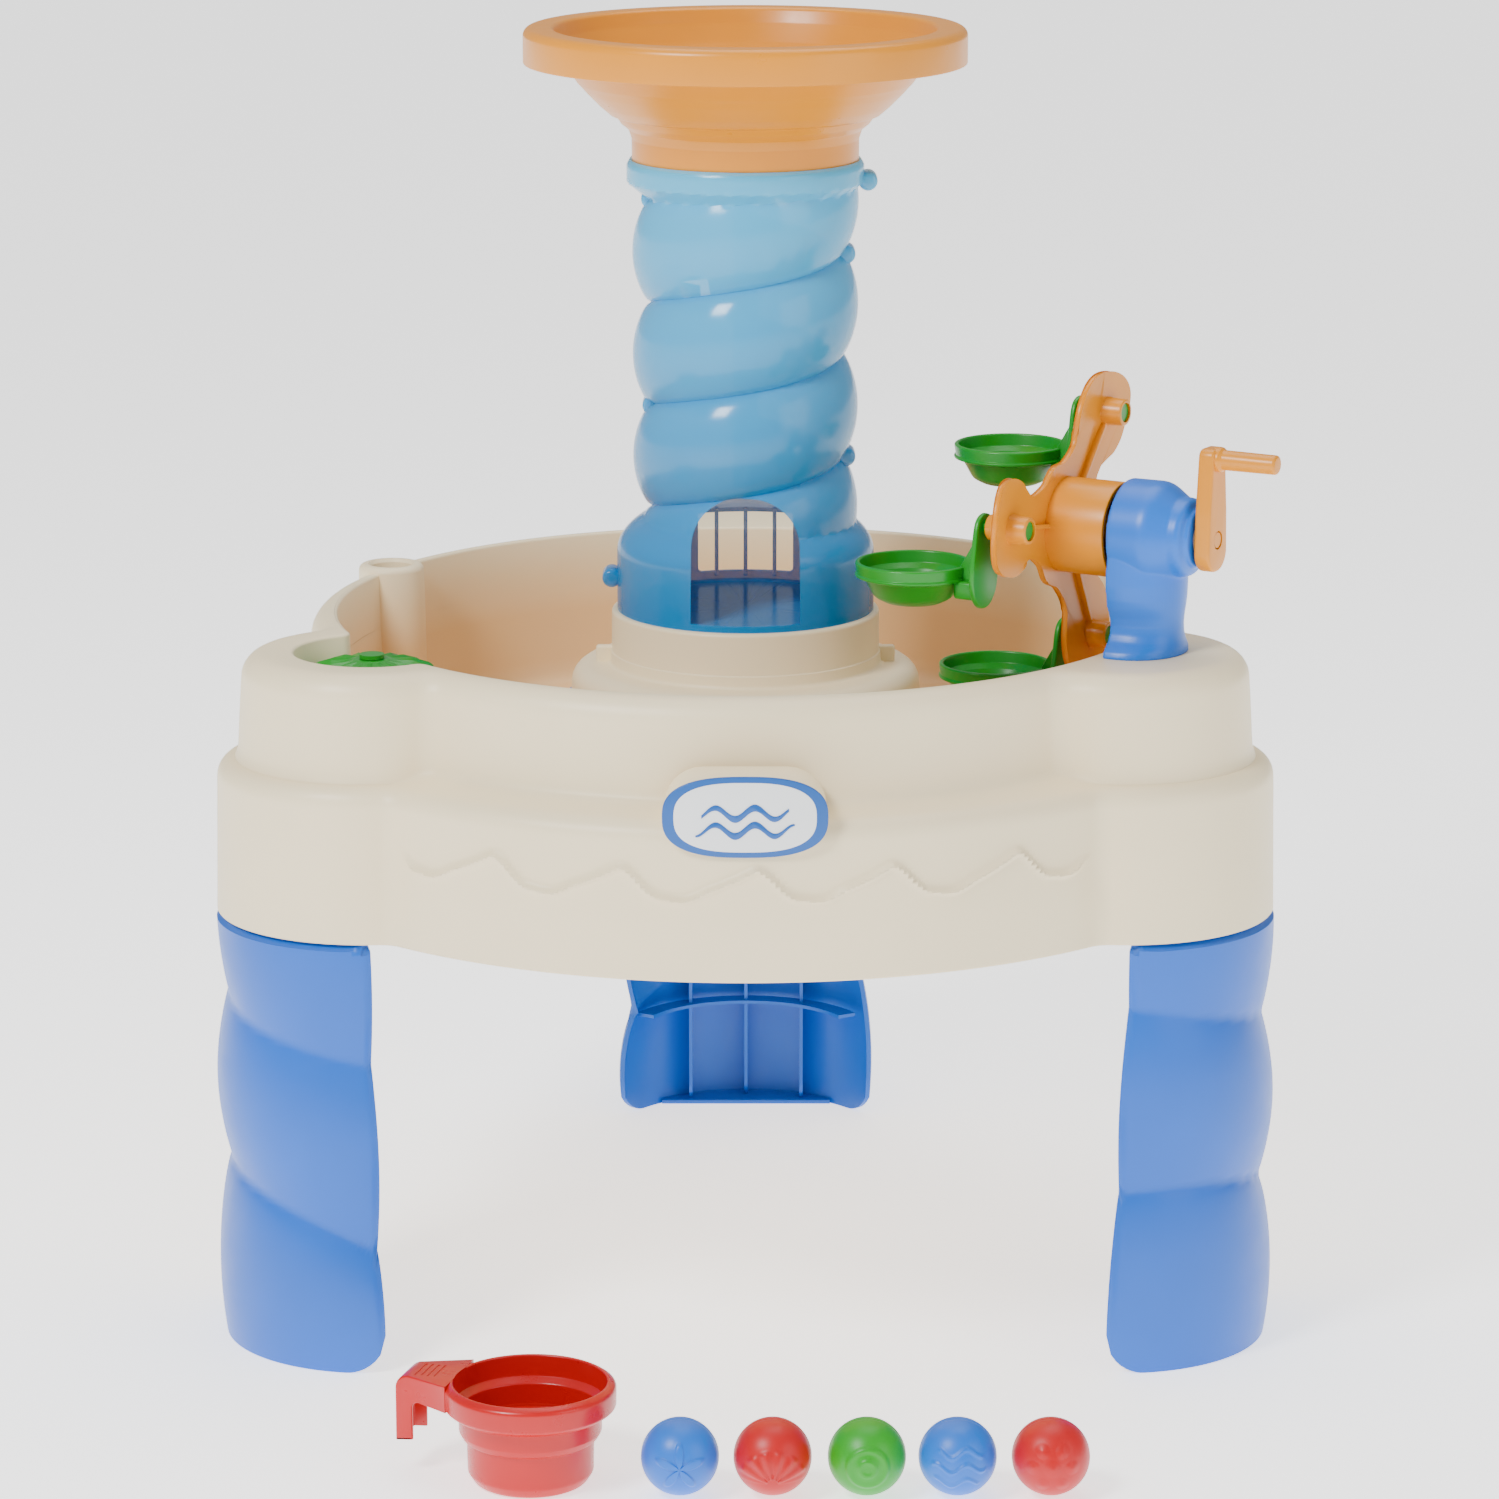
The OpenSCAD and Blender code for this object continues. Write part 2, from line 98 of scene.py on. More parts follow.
CAMERA_LENS = 132.1


# ---------------------------------------------------------------- mesh helpers

def turned(points, degrees):
    """Points turned about +Z"""
    a = math.radians(degrees)
    p = np.array(points, float)
    out = p.copy()
    out[..., 0] = p[..., 0] * math.cos(a) - p[..., 1] * math.sin(a)
    out[..., 1] = p[..., 0] * math.sin(a) + p[..., 1] * math.cos(a)
    return out


def placed(part, degrees=0, shift=(0, 0, 0)):
    """A part, which is (points, faces), turned about +Z and then moved"""
    points, faces = part
    return turned(points, degrees) + np.array(shift, float), faces


def on_wheel(part, about=0, pivot=(0, 0)):
    """From wheel axes (along the shaft, sideways, up) to the shared frame; about turns it round the shaft"""
    points, faces = part
    p = np.array(points, float)
    a = math.radians(about)
    y = p[:, 1] * math.cos(a) - p[:, 2] * math.sin(a) + pivot[0]
    z = p[:, 1] * math.sin(a) + p[:, 2] * math.cos(a) + pivot[1]
    out = turned(np.stack([p[:, 0], y + WHEEL_SIDE, z], axis=1), WHEEL_DIR)
    out[:, 2] += WHEEL_Z
    return out, faces


def grid(points, wrap_rows=False, wrap_cols=False):
    """Quads over an array of rows x columns x 3"""
    rows, cols = points.shape[:2]
    faces = []
    for i in range(rows if wrap_rows else rows - 1):
        for j in range(cols if wrap_cols else cols - 1):
            k, m = (i + 1) % rows, (j + 1) % cols
            faces.append((i * cols + j, i * cols + m, k * cols + m, k * cols + j))
    return points.reshape(-1, 3), faces


def capped(rows):
    """A closed solid from a stack of outlines of the same length"""
    points, faces = grid(np.array(rows), wrap_cols=True)
    count = len(rows[0])
    return points, faces + [tuple(range(count)), tuple(range(len(points) - count, len(points)))]


def shell(outer, inner):
    """A closed sheet between two open grids of the same size"""
    rows, cols = outer.shape[:2]
    loop = np.concatenate([outer, inner[:, ::-1]], axis=1)
    points, faces = grid(loop, wrap_cols=True)
    width = 2 * cols
    for j in range(cols - 1):
        for i in (0, rows - 1):
            a = i * width
            faces.append((a + j, a + j + 1, a + width - 2 - j, a + width - 1 - j))
    return points, faces


def rounded(path, closed=False, step=15):
    """A polyline from (x, y, radius) corners, with each corner rounded by an arc"""
    pts = [np.array(p[:2], float) for p in path]
    radii = [p[2] if len(p) > 2 else 0 for p in path]
    out = []
    n = len(pts)
    for i in range(n):
        if radii[i] <= 0 or (not closed and i in (0, n - 1)):
            out.append(pts[i])
            continue
        before, after = pts[i - 1] - pts[i], pts[(i + 1) % n] - pts[i]
        lb, la = np.linalg.norm(before), np.linalg.norm(after)
        before, after = before / lb, after / la
        half = math.acos(np.clip(before @ after, -1, 1)) / 2
        if half > math.pi / 2 - 0.02:
            out.append(pts[i])
            continue
        reach = min(radii[i] / math.tan(half), 0.49 * lb, 0.49 * la)
        radius = reach * math.tan(half)
        middle = before + after
        centre = pts[i] + middle / np.linalg.norm(middle) * radius / math.sin(half)
        a, b = pts[i] + before * reach - centre, pts[i] + after * reach - centre
        sweep = math.atan2(a[0] * b[1] - a[1] * b[0], a @ b)
        steps = max(2, math.ceil(abs(math.degrees(sweep)) / step))
        for k in range(steps + 1):
            t = sweep * k / steps
            out.append(centre + np.array([a[0] * math.cos(t) - a[1] * math.sin(t),
                                          a[0] * math.sin(t) + a[1] * math.cos(t)]))
    return np.array(out)


def lathe(profile, segments=96, axis="z", closed=True):
    """Turns an (r, height) profile about an axis; a closed one comes back to its start"""
    profile = np.array(profile, float)
    rows = []
    for k in range(segments):
        a = 2 * math.pi * k / segments
        r, h = profile[:, 0], profile[:, 1]
        if axis == "z":
            rows.append(np.stack([r * math.cos(a), r * math.sin(a), h], axis=1))
        else:
            rows.append(np.stack([h, r * math.cos(a), r * math.sin(a)], axis=1))
    return grid(np.array(rows), wrap_rows=True, wrap_cols=closed)


def spindle(profile, segments=96, axis="z"):
    """A solid of revolution whose profile starts and ends on the axis"""
    return lathe(profile, segments, axis, closed=False)


def inward(outline, distance):
    """A closed outline, which runs anticlockwise, moved in along its normals"""
    ahead, behind = np.roll(outline, -1, axis=0), np.roll(outline, 1, axis=0)
    along = ahead - behind
    along /= np.maximum(np.linalg.norm(along, axis=1, keepdims=True), 1e-9)
    return outline + np.stack([-along[:, 1], along[:, 0]], axis=1) * distance


def plate(outline, low, high, edge=1.5, steps=4):
    """A flat outline made solid from low to high, with rounded edges; (x, y, height)"""
    turns = [math.pi / 2 * k / steps for k in range(steps + 1)]
    levels = [(edge * (1 - math.sin(t)), low + edge * (1 - math.cos(t))) for t in turns]
    levels += [(edge * (1 - math.cos(t)), high - edge * (1 - math.sin(t))) for t in turns]
    rows = []
    for distance, height in levels:
        flat = inward(outline, distance)
        rows.append(np.column_stack([flat, np.full(len(flat), height)]))
    return capped(rows)


def facing_x(part):
    """(x, y, height) to (height, x, y): a plate that stands across the shaft"""
    points, faces = part
    return points[:, [2, 0, 1]], faces


def curve_through(points, per=8):
    """A smooth closed line through a few points"""
    p = np.array(points, float)
    out = []
    for i in range(len(p)):
        a, b, c, d = p[i - 1], p[i], p[(i + 1) % len(p)], p[(i + 2) % len(p)]
        for k in range(per):
            t = k / per
            out.append(0.5 * (2 * b + (c - a) * t + (2 * a - 5 * b + 4 * c - d) * t * t
                              + (3 * b - a - 3 * c + d) * t ** 3))
    return np.array(out)


def stadium(length, height, segments=16):
    r = height / 2
    a = np.linspace(-math.pi / 2, math.pi / 2, segments)
    right = np.stack([length / 2 - r + r * np.cos(a), r * np.sin(a)], axis=1)
    return np.concatenate([right, -right])


def box(low, high, edge=1.0):
    """A block with rounded upright edges and rounded rims"""
    (x0, y0, z0), (x1, y1, z1) = low, high
    outline = rounded([(x0, y0, edge), (x1, y0, edge), (x1, y1, edge), (x0, y1, edge)], closed=True, step=30)
    return plate(outline, z0, z1, edge * 0.8, 3)


def joined(parts):
    points, faces, offset = [], [], 0
    for p, f in parts:
        points.append(np.array(p, float))
        faces += [tuple(v + offset for v in face) for face in f]
        offset += len(p)
    return np.concatenate(points), faces


def to_object(name, part):
    points, faces = part
    mesh = bpy.data.meshes.new(name)
    mesh.from_pydata([tuple(p) for p in np.array(points) / 1000], [], faces)
    bm = bmesh.new()
    bm.from_mesh(mesh)
    bmesh.ops.remove_doubles(bm, verts=bm.verts, dist=2e-6)
    bmesh.ops.dissolve_degenerate(bm, edges=bm.edges, dist=1e-7)
    bmesh.ops.recalc_face_normals(bm, faces=bm.faces)
    bm.to_mesh(mesh)
    bm.free()
    obj = bpy.data.objects.new(name, mesh)
    bpy.context.scene.collection.objects.link(obj)
    return obj


def bake_modifiers(obj):
    """Replaces the mesh by what its modifiers make of it"""
    graph = bpy.context.evaluated_depsgraph_get()
    graph.update()
    mesh = bpy.data.meshes.new_from_object(obj.evaluated_get(graph))
    obj.modifiers.clear()
    obj.data = mesh


def combine(base, parts, operation):
    """Unites parts with base, or cuts them out of it"""
    for part in parts:
        tool = to_object("tool", part)
        cut = base.modifiers.new("combine", "BOOLEAN")
        cut.operation = operation
        cut.solver = "MANIFOLD"
        cut.object = tool
        bake_modifiers(base)
        bpy.data.objects.remove(tool)


def blended(obj, voxel, rounds=6):
    """Fuses overlapping solids into one skin with soft inner corners"""
    remesh = obj.modifiers.new("fuse", "REMESH")
    remesh.mode = "VOXEL"
    remesh.voxel_size = voxel / 1000
    soften = obj.modifiers.new("soften", "SMOOTH")
    soften.factor = 0.5
    soften.iterations = rounds
    bake_modifiers(obj)


def finished(obj, material, body="root", replaces=(), sharp=40):
    obj.data.materials.clear()
    obj.data.materials.append(material)
    obj.data.polygons.foreach_set("use_smooth", [True] * len(obj.data.polygons))
    obj.data.set_sharp_from_angle(angle=math.radians(sharp))
    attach(obj, body)
    if replaces:
        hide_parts(*replaces)
    return obj


def piece(name, part, material, body="root", replaces=(), sharp=40):
    return finished(to_object(name, part), material, body, replaces, sharp)


# ---------------------------------------------------------------- materials

def srgb(r, g, b):
    return tuple(c / 12.92 if c <= 0.04045 else ((c + 0.055) / 1.055) ** 2.4
                 for c in (r / 255, g / 255, b / 255)) + (1.0,)


def plastic(name, colour, rough=0.35, spread=0.06, grain=900, bump=0.05, through=0.0, alpha=1.0, top=None):
    """Moulded plastic: faint cloudy colour, uneven gloss, fine moulded grain; top, when given, is painted
    light that lightens the colour towards the tower's top
    """
    m = bpy.data.materials.new(name)
    m.use_nodes = True
    nodes, links = m.node_tree.nodes, m.node_tree.links
    shader = nodes["Principled BSDF"]
    place = nodes.new("ShaderNodeTexCoord")
    cloud = nodes.new("ShaderNodeTexNoise")
    cloud.inputs["Scale"].default_value = 9
    cloud.inputs["Detail"].default_value = 5
    links.new(place.outputs["Object"], cloud.inputs["Vector"])
    tint = nodes.new("ShaderNodeValToRGB")
    tint.color_ramp.elements[0].position = 0.3
    tint.color_ramp.elements[1].position = 0.7
    tint.color_ramp.elements[0].color = tuple(c * (1 - spread) for c in colour[:3]) + (1,)
    tint.color_ramp.elements[1].color = tuple(min(1, c * (1 + spread)) for c in colour[:3]) + (1,)
    links.new(cloud.outputs["Fac"], tint.inputs["Fac"])
    links.new(tint.outputs["Color"], shader.inputs["Base Color"])
    # painted light: the colour blends into top from the rim up to the tower's top, where light shows through
    # the plastic
    if top:
        split = nodes.new("ShaderNodeSeparateXYZ")
        links.new(place.outputs["Object"], split.inputs["Vector"])
        rise = nodes.new("ShaderNodeMapRange")
        rise.inputs["From Min"].default_value = RIM_Z / 1000
        rise.inputs["From Max"].default_value = TOWER_TOP / 1000
        links.new(split.outputs["Z"], rise.inputs["Value"])
        mix = nodes.new("ShaderNodeMix")
        mix.data_type = "RGBA"
        links.new(rise.outputs["Result"], mix.inputs[0])
        links.new(tint.outputs["Color"], mix.inputs[6])
        mix.inputs[7].default_value = top
        links.new(mix.outputs[2], shader.inputs["Base Color"])
    wear = nodes.new("ShaderNodeTexNoise")
    wear.inputs["Scale"].default_value = 45
    wear.inputs["Detail"].default_value = 6
    links.new(place.outputs["Object"], wear.inputs["Vector"])
    gloss = nodes.new("ShaderNodeMapRange")
    gloss.inputs["To Min"].default_value = max(0.05, rough - 0.07)
    gloss.inputs["To Max"].default_value = rough + 0.09
    links.new(wear.outputs["Fac"], gloss.inputs["Value"])
    links.new(gloss.outputs["Result"], shader.inputs["Roughness"])
    fine = nodes.new("ShaderNodeTexNoise")
    fine.inputs["Scale"].default_value = grain
    fine.inputs["Detail"].default_value = 3
    links.new(place.outputs["Object"], fine.inputs["Vector"])
    relief = nodes.new("ShaderNodeBump")
    relief.inputs["Strength"].default_value = bump
    relief.inputs["Distance"].default_value = 0.0004
    links.new(fine.outputs["Fac"], relief.inputs["Height"])
    links.new(relief.outputs["Normal"], shader.inputs["Normal"])
    shader.inputs["IOR"].default_value = 1.49
    shader.inputs["Transmission Weight"].default_value = through
    shader.inputs["Alpha"].default_value = alpha
    return m


def paint_basin_shade(material, tan):
    """Painted shade: tints the basin's wall and floor, between the pedestal and the rim, towards a darker tan
    that stands in for the shade and warm bounced light inside the basin
    """
    nodes, links = material.node_tree.nodes, material.node_tree.links
    shader = nodes["Principled BSDF"]
    place = nodes.new("ShaderNodeTexCoord")
    flat = nodes.new("ShaderNodeVectorMath")
    flat.operation = "MULTIPLY"
    flat.inputs[1].default_value = (1, 1, 0)
    links.new(place.outputs["Object"], flat.inputs[0])
    length = nodes.new("ShaderNodeVectorMath")
    length.operation = "LENGTH"
    links.new(flat.outputs["Vector"], length.inputs[0])
    split = nodes.new("ShaderNodeSeparateXYZ")
    links.new(place.outputs["Object"], split.inputs["Vector"])
    factor = None
    # mask of the painted shade: outside the tier, inside the basin wall, below the rim
    for source, low, high in ((length.outputs["Value"], TIER_R, TIER_R + 12),
                              (length.outputs["Value"], BASIN_R + 4, BASIN_R + 1),
                              (split.outputs["Z"], RIM_Z - 4, RIM_Z - 60)):
        span = nodes.new("ShaderNodeMapRange")
        span.inputs["From Min"].default_value = low / 1000
        span.inputs["From Max"].default_value = high / 1000
        links.new(source, span.inputs["Value"])
        if factor:
            both = nodes.new("ShaderNodeMath")
            both.operation = "MULTIPLY"
            links.new(factor, both.inputs[0])
            links.new(span.outputs["Result"], both.inputs[1])
            factor = both.outputs["Value"]
        else:
            factor = span.outputs["Result"]
    mix = nodes.new("ShaderNodeMix")
    mix.data_type = "RGBA"
    links.new(factor, mix.inputs[0])
    links.new(shader.inputs["Base Color"].links[0].from_socket, mix.inputs[6])
    mix.inputs[7].default_value = tan
    links.new(mix.outputs[2], shader.inputs["Base Color"])


def metal(name, colour, rough=0.32):
    """Plated steel with fine turned lines"""
    m = bpy.data.materials.new(name)
    m.use_nodes = True
    nodes, links = m.node_tree.nodes, m.node_tree.links
    shader = nodes["Principled BSDF"]
    place = nodes.new("ShaderNodeTexCoord")
    lines = nodes.new("ShaderNodeTexNoise")
    lines.inputs["Scale"].default_value = 600
    links.new(place.outputs["Object"], lines.inputs["Vector"])
    gloss = nodes.new("ShaderNodeMapRange")
    gloss.inputs["To Min"].default_value = rough - 0.1
    gloss.inputs["To Max"].default_value = rough + 0.15
    links.new(lines.outputs["Fac"], gloss.inputs["Value"])
    links.new(gloss.outputs["Result"], shader.inputs["Roughness"])
    relief = nodes.new("ShaderNodeBump")
    relief.inputs["Strength"].default_value = 0.1
    relief.inputs["Distance"].default_value = 0.0002
    links.new(lines.outputs["Fac"], relief.inputs["Height"])
    links.new(relief.outputs["Normal"], shader.inputs["Normal"])
    shader.inputs["Base Color"].default_value = colour
    shader.inputs["Metallic"].default_value = 1
    return m


CREAM = plastic("cream_plastic", srgb(250, 233, 194), 0.40, 0.02, 700, 0.10)
# painted shade: a darker tan painted inside the basin for its shade and warm bounced light; the plastic
# itself is the same cream
paint_basin_shade(CREAM, srgb(236, 196, 142))
LEG_BLUE = plastic("leg_blue_plastic", srgb(0, 96, 204), 0.36, 0.05, 800, 0.06)
POST_BLUE = plastic("post_blue_plastic", srgb(4, 110, 220), 0.34, 0.05, 900, 0.06)
ORANGE = plastic("orange_plastic", srgb(226, 142, 0), 0.3, 0.05, 900, 0.05)
GREEN = plastic("green_plastic", srgb(8, 142, 26), 0.3, 0.06, 900, 0.05)
RED = plastic("red_plastic", srgb(196, 2, 8), 0.28, 0.05, 900, 0.04)
# top is painted light: a lighter blue towards the tower's top, where light shows through the plastic
TOWER_BLUE = plastic("tower_blue_plastic", srgb(0, 142, 218), 0.16, 0.04, 400, 0.03, alpha=0.68,
                     top=srgb(84, 200, 246))
RAMP_BLUE = plastic("ramp_blue_plastic", srgb(90, 195, 255), 0.25, 0.04, 400, 0.03, through=0.2)
PLAQUE_BLUE = plastic("plaque_blue", srgb(20, 90, 170), 0.3, 0.04, 900, 0.03)
PLAQUE_WHITE = plastic("plaque_white", srgb(240, 244, 246), 0.3, 0.02, 900, 0.03)
BUSH_WHITE = plastic("bush_white", srgb(235, 235, 230), 0.4, 0.03)
SEAL_BLACK = plastic("seal_rubber", srgb(28, 28, 28), 0.6, 0.1, 600, 0.2)
BALL_BLUE = plastic("ball_blue", srgb(0, 108, 216), 0.38, 0.05, 1200, 0.08)
BALL_RED = plastic("ball_red", srgb(196, 4, 12), 0.38, 0.05, 1200, 0.08)
BALL_GREEN = plastic("ball_green", srgb(28, 158, 22), 0.38, 0.05, 1200, 0.08)
STEEL = metal("zinc_steel", srgb(190, 192, 198))


# ---------------------------------------------------------------- tray

FILLET_STEPS, LOBE_STEPS, MAIN_STEPS = 8, 48, 156


def lobe_points(main_r, lobe_at, lobe_r, fillet):
    """Half angle of a lobe with its fillets, and its outline in the lobe's own axes"""
    reach = main_r + fillet
    cosine = (reach ** 2 + lobe_at ** 2 - (lobe_r + fillet) ** 2) / (2 * reach * lobe_at)
    edge = math.acos(max(-1, min(1, cosine)))
    centre = reach * np.array([math.cos(edge), -math.sin(edge)])
    lobe = np.array([lobe_at, 0.0])
    start = centre * main_r / reach - centre
    end = (lobe - centre) / np.linalg.norm(lobe - centre) * fillet
    a0, a1 = math.atan2(start[1], start[0]), math.atan2(end[1], end[0])
    while a1 - a0 > math.pi:
        a1 -= 2 * math.pi
    while a1 - a0 < -math.pi:
        a1 += 2 * math.pi
    a = np.linspace(a0, a1, FILLET_STEPS + 1)
    first = centre + fillet * np.stack([np.cos(a), np.sin(a)], axis=1)
    meet = centre + end - lobe
    open_angle = abs(math.atan2(meet[1], meet[0]))
    a = np.linspace(-open_angle, open_angle, LOBE_STEPS + 1)[1:-1]
    middle = lobe + lobe_r * np.stack([np.cos(a), np.sin(a)], axis=1)
    last = first[::-1] * np.array([1, -1])
    return edge, np.concatenate([first, middle, last])


def outline(main_r, lobes):
    """A round outline with a lobe, or a plain stretch where lobes holds the angles to follow"""
    sections = []
    for direction, lobe in zip(LOBE_DIRS, lobes):
        if len(lobe) == 3:
            edge, points = lobe_points(main_r, *lobe)
        else:
            edge, angles = lobe
            points = main_r * np.stack([np.cos(angles), np.sin(angles)], axis=1)
        sections.append((math.radians(direction), edge, turned(points, direction)))
    out = []
    for i, (direction, edge, points) in enumerate(sections):
        out.append(points)
        nxt, nxt_edge, _ = sections[(i + 1) % 3]
        while nxt < direction:
            nxt += 2 * math.pi
        a = np.linspace(direction + edge, nxt - nxt_edge, MAIN_STEPS + 1)[1:-1]
        out.append(main_r * np.stack([np.cos(a), np.sin(a)], axis=1))
    return np.concatenate(out)


REF_EDGE, REF_POINTS = lobe_points(306, LOBE_AT, 76, 22)
PLAIN = (REF_EDGE, np.linspace(-REF_EDGE, REF_EDGE, len(REF_POINTS)))
POCKET_SECTION = 0


def ring_lobed(z, main_r, lobe_r, fillet=20):
    flat = outline(main_r, [(LOBE_AT, lobe_r, fillet)] * 3)
    return np.column_stack([flat, np.full(len(flat), z)])


def ring_inside(z, main_r, pocket_r=None, fillet=9):
    lobes = [PLAIN, PLAIN, PLAIN]
    if pocket_r:
        lobes[POCKET_SECTION] = (POCKET_AT, pocket_r, fillet)
    flat = outline(main_r, lobes)
    return np.column_stack([flat, np.full(len(flat), z)])


def wave_height(fraction):
    """Height of the relief's edge along one stretch of skirt, from lobe to lobe"""
    period = 5.6
    t = (fraction * period + 0.12) % 1
    fall = 0.34
    if t < fall:
        s = t / fall
        return 400 - 21 * (0.5 - 0.5 * math.cos(math.pi * s)) - 2 * math.sin(math.pi * s)
    s = (t - fall) / (1 - fall)
    return 379 - 3 * math.sin(math.pi * min(1, s * 2.2)) * (s < 0.45) + 21 * s ** 1.7


def add_wave_relief(ring):
    """Moves the skirt out below the wavy edge"""
    section = 2 * FILLET_STEPS + LOBE_STEPS + 1
    stretch = MAIN_STEPS - 1
    z = ring[0, 2]
    for k in range(3):
        start = k * (section + stretch) + section
        for j in range(stretch):
            fraction = (j + 0.5) / stretch
            fade = min(1, fraction / 0.03, (1 - fraction) / 0.03)
            under = 0.5 - 0.5 * math.tanh((z - wave_height(fraction)) / 0.9)
            p = ring[start + j]
            bead = math.exp(-((z - wave_height(fraction)) / 2.2) ** 2)
            p[:2] *= 1 + fade * (2.4 * under * min(1, max(0, (z - 322) / 40)) + 3.0 * bead) / 365


def quarter(steps):
    """(1 - cos, sin) at even steps of a quarter turn"""
    turns = np.radians(np.linspace(0, 90, steps + 1))
    return [(1 - math.cos(turn), math.sin(turn)) for turn in turns]


def tray_rings():
    """The tray as one stack of rings: the underside, out, up the skirt, over the rim, down and in"""
    flat = ring_inside(FLOOR_Z - 4, 1)
    rings = [flat * np.array([0, 0, 1]), ring_inside(FLOOR_Z - 4, 299), ring_inside(FLOOR_Z - 2, 303.5),
             ring_inside(450, 307)]
    for z, r, lobe in ((455, 312, 84), (452, 319, 90), (441, 322.5, 91.5), (431, 330, 93), (428, 352, 101),
                       (421, 361, 107.5)):
        rings.append(ring_lobed(z, r, lobe))
    for z, inset in ((SKIRT_Z + 1.2, 3.8), (SKIRT_Z, 2.9), (SKIRT_Z, 0.9), (SKIRT_Z + 1.2, 0)):
        rings.append(ring_lobed(z, SKIRT_R - inset, SKIRT_LOBE_R - inset))
    heights = [325, 335, 345, 355, 363] + list(np.arange(368, 409, 1.25)) + [412, 416, 418]
    for z in heights:
        draft = (z - SKIRT_Z) * SKIRT_DRAFT
        ring = ring_lobed(z, SKIRT_R - draft, SKIRT_LOBE_R - draft)
        add_wave_relief(ring)
        rings.append(ring)
    for c, s in quarter(8)[1:]:
        rings.append(ring_lobed(418 + 14 * s, 364.5 - 16 * c, 111.3 - 13 * c))
    for z, r, lobe in ((433.5, 340, 97.8), (435.5, 333.5, 97), (437.5, 330, 96.3), (440.5, 328, 95.8),
                       (446, 327, 95.4), (460, 325.6, 94.6), (476, 324.2, 93.6), (490, 323, 92.6)):
        rings.append(ring_lobed(z, r, lobe))
    for c, s in quarter(9)[1:]:
        rings.append(ring_lobed(490 + 18 * s, 323 - 17 * c, 92.6 - 17.5 * c, 20 + 2 * s))
    for c, s in quarter(4)[::-1]:
        rings.append(ring_inside(RIM_Z - 2.3 + 2.3 * s, BASIN_R + 2.3 * c, POCKET_R + 3 * c, 9 - 3 * c))
    rings.append(ring_inside(480, BASIN_R - 0.6, POCKET_R - 0.5))
    rings.append(ring_inside(POCKET_Z - 2, BASIN_R - 1, POCKET_R - 1))
    rings.append(ring_inside(POCKET_Z - 2, BASIN_R - 1))
    for z, r in ((440, BASIN_R - 2.5), (410, BASIN_R - 4)):
        rings.append(ring_inside(z, r))
    for c, s in quarter(5)[1:]:
        rings.append(ring_inside(FLOOR_Z + 14 * (1 - s), BASIN_R - 4.6 - 14 * c))
    tier = rounded([(TIER_R + 24, FLOOR_Z), (TIER_R + 4, FLOOR_Z, 8), (TIER_R, TIER_Z, 20),
                    (PEDESTAL_R + 1.5, TIER_Z, 3), (PEDESTAL_R + 1, 475.2, 0.4), (PEDESTAL_R + 0.2, 476, 0.4),
                    (PEDESTAL_R, RIM_Z - 1, 3), (PEDESTAL_R - 8, RIM_Z - 1)])
    for r, z in tier:
        rings.append(ring_inside(z, r))
    rings.append(ring_inside(RIM_Z - 1, 1) * np.array([0, 0, 1]))
    return np.array(rings)


def make_tray():
    tray = to_object("tray_moulding", grid(tray_rings(), wrap_cols=True))
    pocket = turned(np.array([[POCKET_AT, 0, 0]]), LOBE_DIRS[0])[0]
    shelf = spindle(rounded([(0, FLOOR_Z - 2), (62, FLOOR_Z - 2), (60.5, POCKET_Z, 5), (0, POCKET_Z)]), 96)
    socket_at = turned(np.array([[SOCKET_AT, 0, 0]]), SOCKET_DIR)[0]
    tube = spindle(rounded([(0, FLOOR_Z - 2), (27, FLOOR_Z - 2), (25, 512, 5), (0, 512)]), 64)
    rows = []
    for y, grow in ((-330, 0), (PLAQUE_Y + 1.5, -1), (PLAQUE_Y, -2)):
        flat = stadium(112 + 2 * grow, 54 + 2 * grow)
        rows.append(np.column_stack([flat[:, 0], np.full(len(flat), y), flat[:, 1] + PLAQUE_Z]))
    pad = capped(rows)
    fins = [placed(box((PEDESTAL_R - 3, -3.5, TIER_Z - 6), (PEDESTAL_R + 12, 3.5, TIER_Z + 12), 2.5), a)
            for a in (0, 180)]
    combine(tray, [placed(shelf, 0, pocket), placed(tube, 0, socket_at), pad, *fins], "UNION")
    bore = spindle([(0, 432), (SOCKET_R, 432), (SOCKET_R, 509.5), (SOCKET_R + 2.5, 513), (0, 513)], 64)
    drain = spindle([(0, 370), (10.2, 370), (10.2, 400), (0, 400)], 48)
    plug_low, plug_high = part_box("drain_plug")
    middle = (plug_low + plug_high) * 500
    combine(tray, [placed(bore, 0, socket_at), placed(drain, 0, (middle.x, middle.y, 0))], "DIFFERENCE")
    finished(tray, CREAM, "root", ["tray"], 32)


